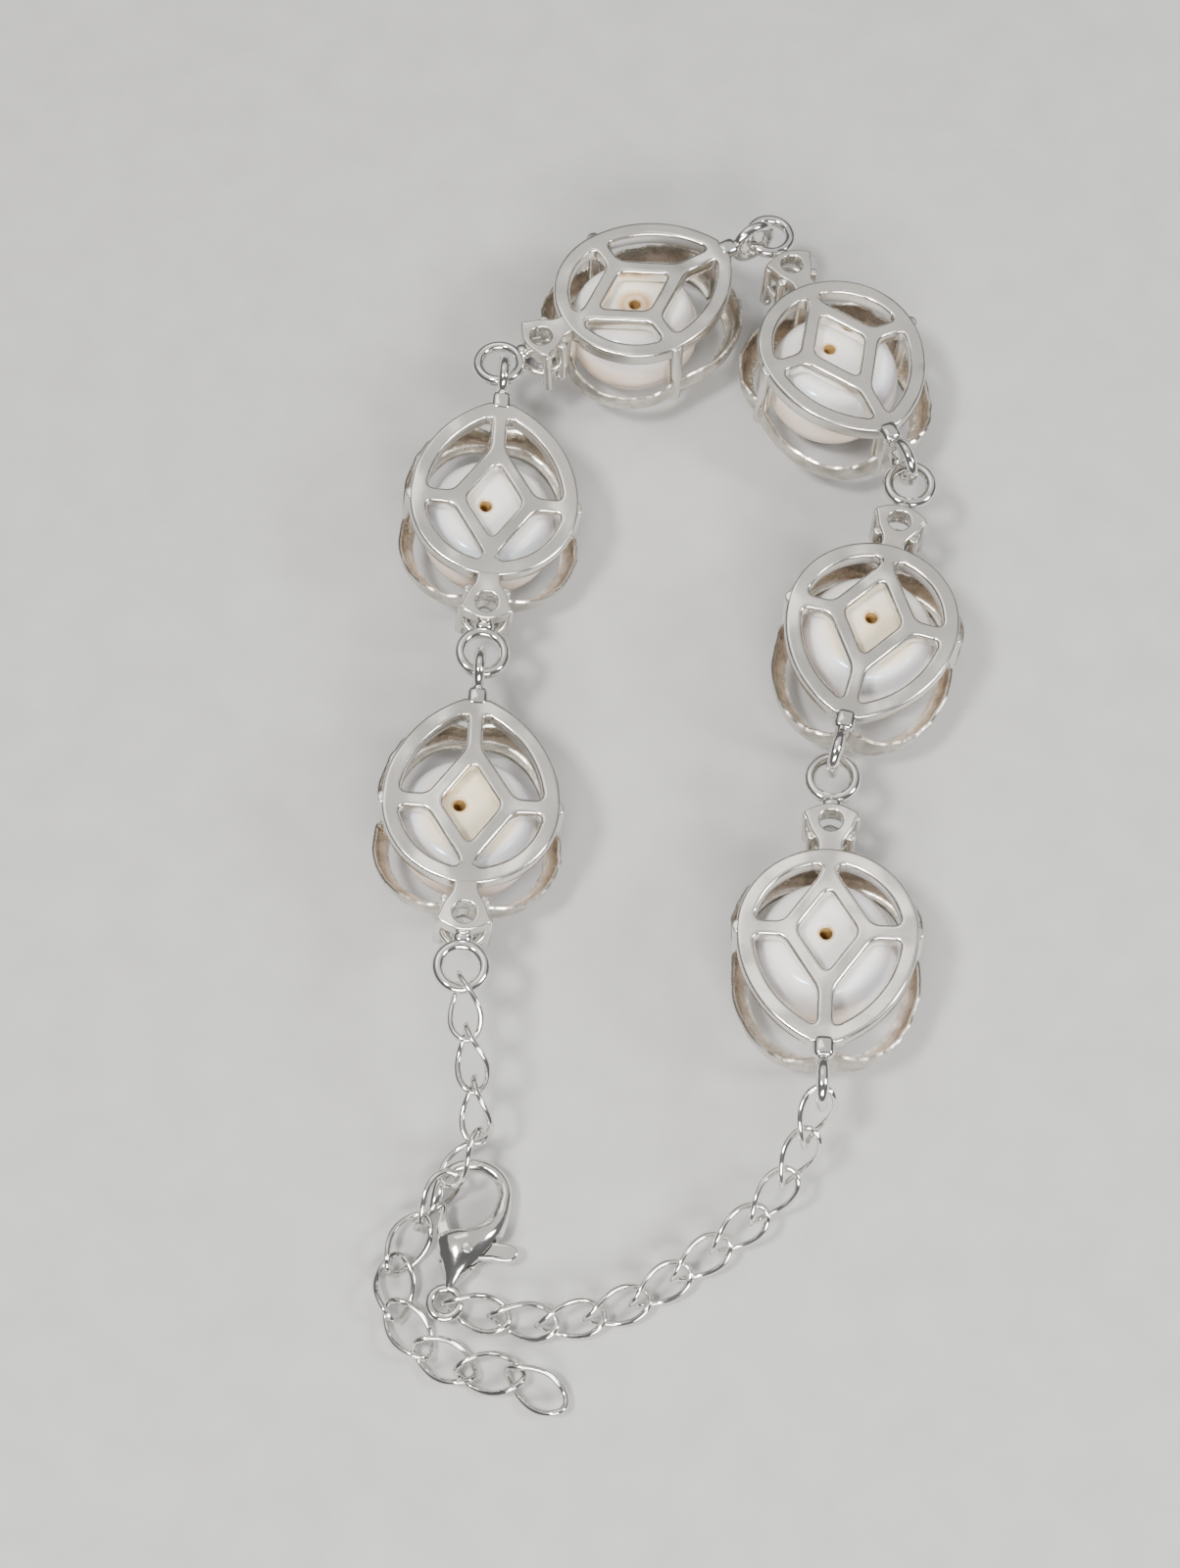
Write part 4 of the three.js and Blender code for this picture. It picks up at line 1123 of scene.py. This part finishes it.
lever_template = plate([lever, bore], LEVER_THICKNESS / 2, LEVER_THICKNESS, LEVER_RIM)
place_piece("clasp_gate", lever_template, CLASP_MATRIX, [bright_silver], "clasp_lever", body="lever")
print("lever faces:", len(lever_template.polygons))

# %% [markdown]
# ## Table
# The bracelet lies on a plain pale table. A faint fibre pattern keeps it from looking empty, and a high
# roughness from mirroring the lights.

# %% Pale table
bm = bmesh.new()
bmesh.ops.create_grid(bm, x_segments=1, y_segments=1, size=1.5)
table_mesh = mesh_from(bm, "table")
table = bpy.data.objects.new("table", table_mesh)
bpy.context.scene.collection.objects.link(table)
table_paper, tree, shader, mapping = new_material("table_paper")
fibre = noise_pattern(tree, mapping, 300, 4.0)
ramp = colour_ramp(tree, fibre.outputs["Fac"], [(0.3, (0.43, 0.426, 0.418)), (0.7, (0.47, 0.466, 0.457))])
tree.links.new(ramp.outputs["Color"], shader.inputs["Base Color"])
shader.inputs["Roughness"].default_value = 0.85
table_mesh.materials.append(table_paper)
print("table finish:", table_paper.name)

# %% [markdown]
# ## Light
# Polished metal looks like what it mirrors, so the light is made of boxes as in a jeweller's studio. One
# broad box overhead is mirrored by the flat backs, a smaller one beside it, the window, puts soft tones on
# some of them, one in front gives the pearls their sheen, and two small ones make the spots on rings and
# rims. A grey room fills the rest.


# %% Lights
def area_light(name, place, size, power, tint):
    data = bpy.data.lights.new(name, "AREA")
    data.shape = "RECTANGLE"
    data.size, data.size_y = size
    data.energy = power
    data.color = tint
    light = bpy.data.objects.new(name, data)
    light.location = Vector(place)
    light.rotation_euler = (LOOK_AT - light.location).to_track_quat("-Z", "Y").to_euler()
    bpy.context.scene.collection.objects.link(light)


area_light("ceiling_box", (0.0, 0.20, 0.55), (1.1, 0.8), 1.9, (1.0, 0.975, 0.93))
area_light("window_box", (-0.10, 0.25, 0.50), (0.24, 0.20), 0.24, (1.0, 0.985, 0.96))
area_light("key_box", (-0.16, -0.10, 0.42), (0.07, 0.06), 1.9, (1.0, 0.99, 0.97))
area_light("front_box", (0.02, -0.38, 0.30), (0.30, 0.14), 3.2, (1.0, 0.99, 0.98))
area_light("right_box", (0.30, -0.06, 0.26), (0.08, 0.10), 1.0, (0.95, 0.97, 1.0))
world = bpy.data.worlds.new("grey_room")
world.use_nodes = True
world.node_tree.nodes["Background"].inputs["Color"].default_value = (0.50, 0.51, 0.53, 1)
world.node_tree.nodes["Background"].inputs["Strength"].default_value = 0.32
bpy.context.scene.world = world
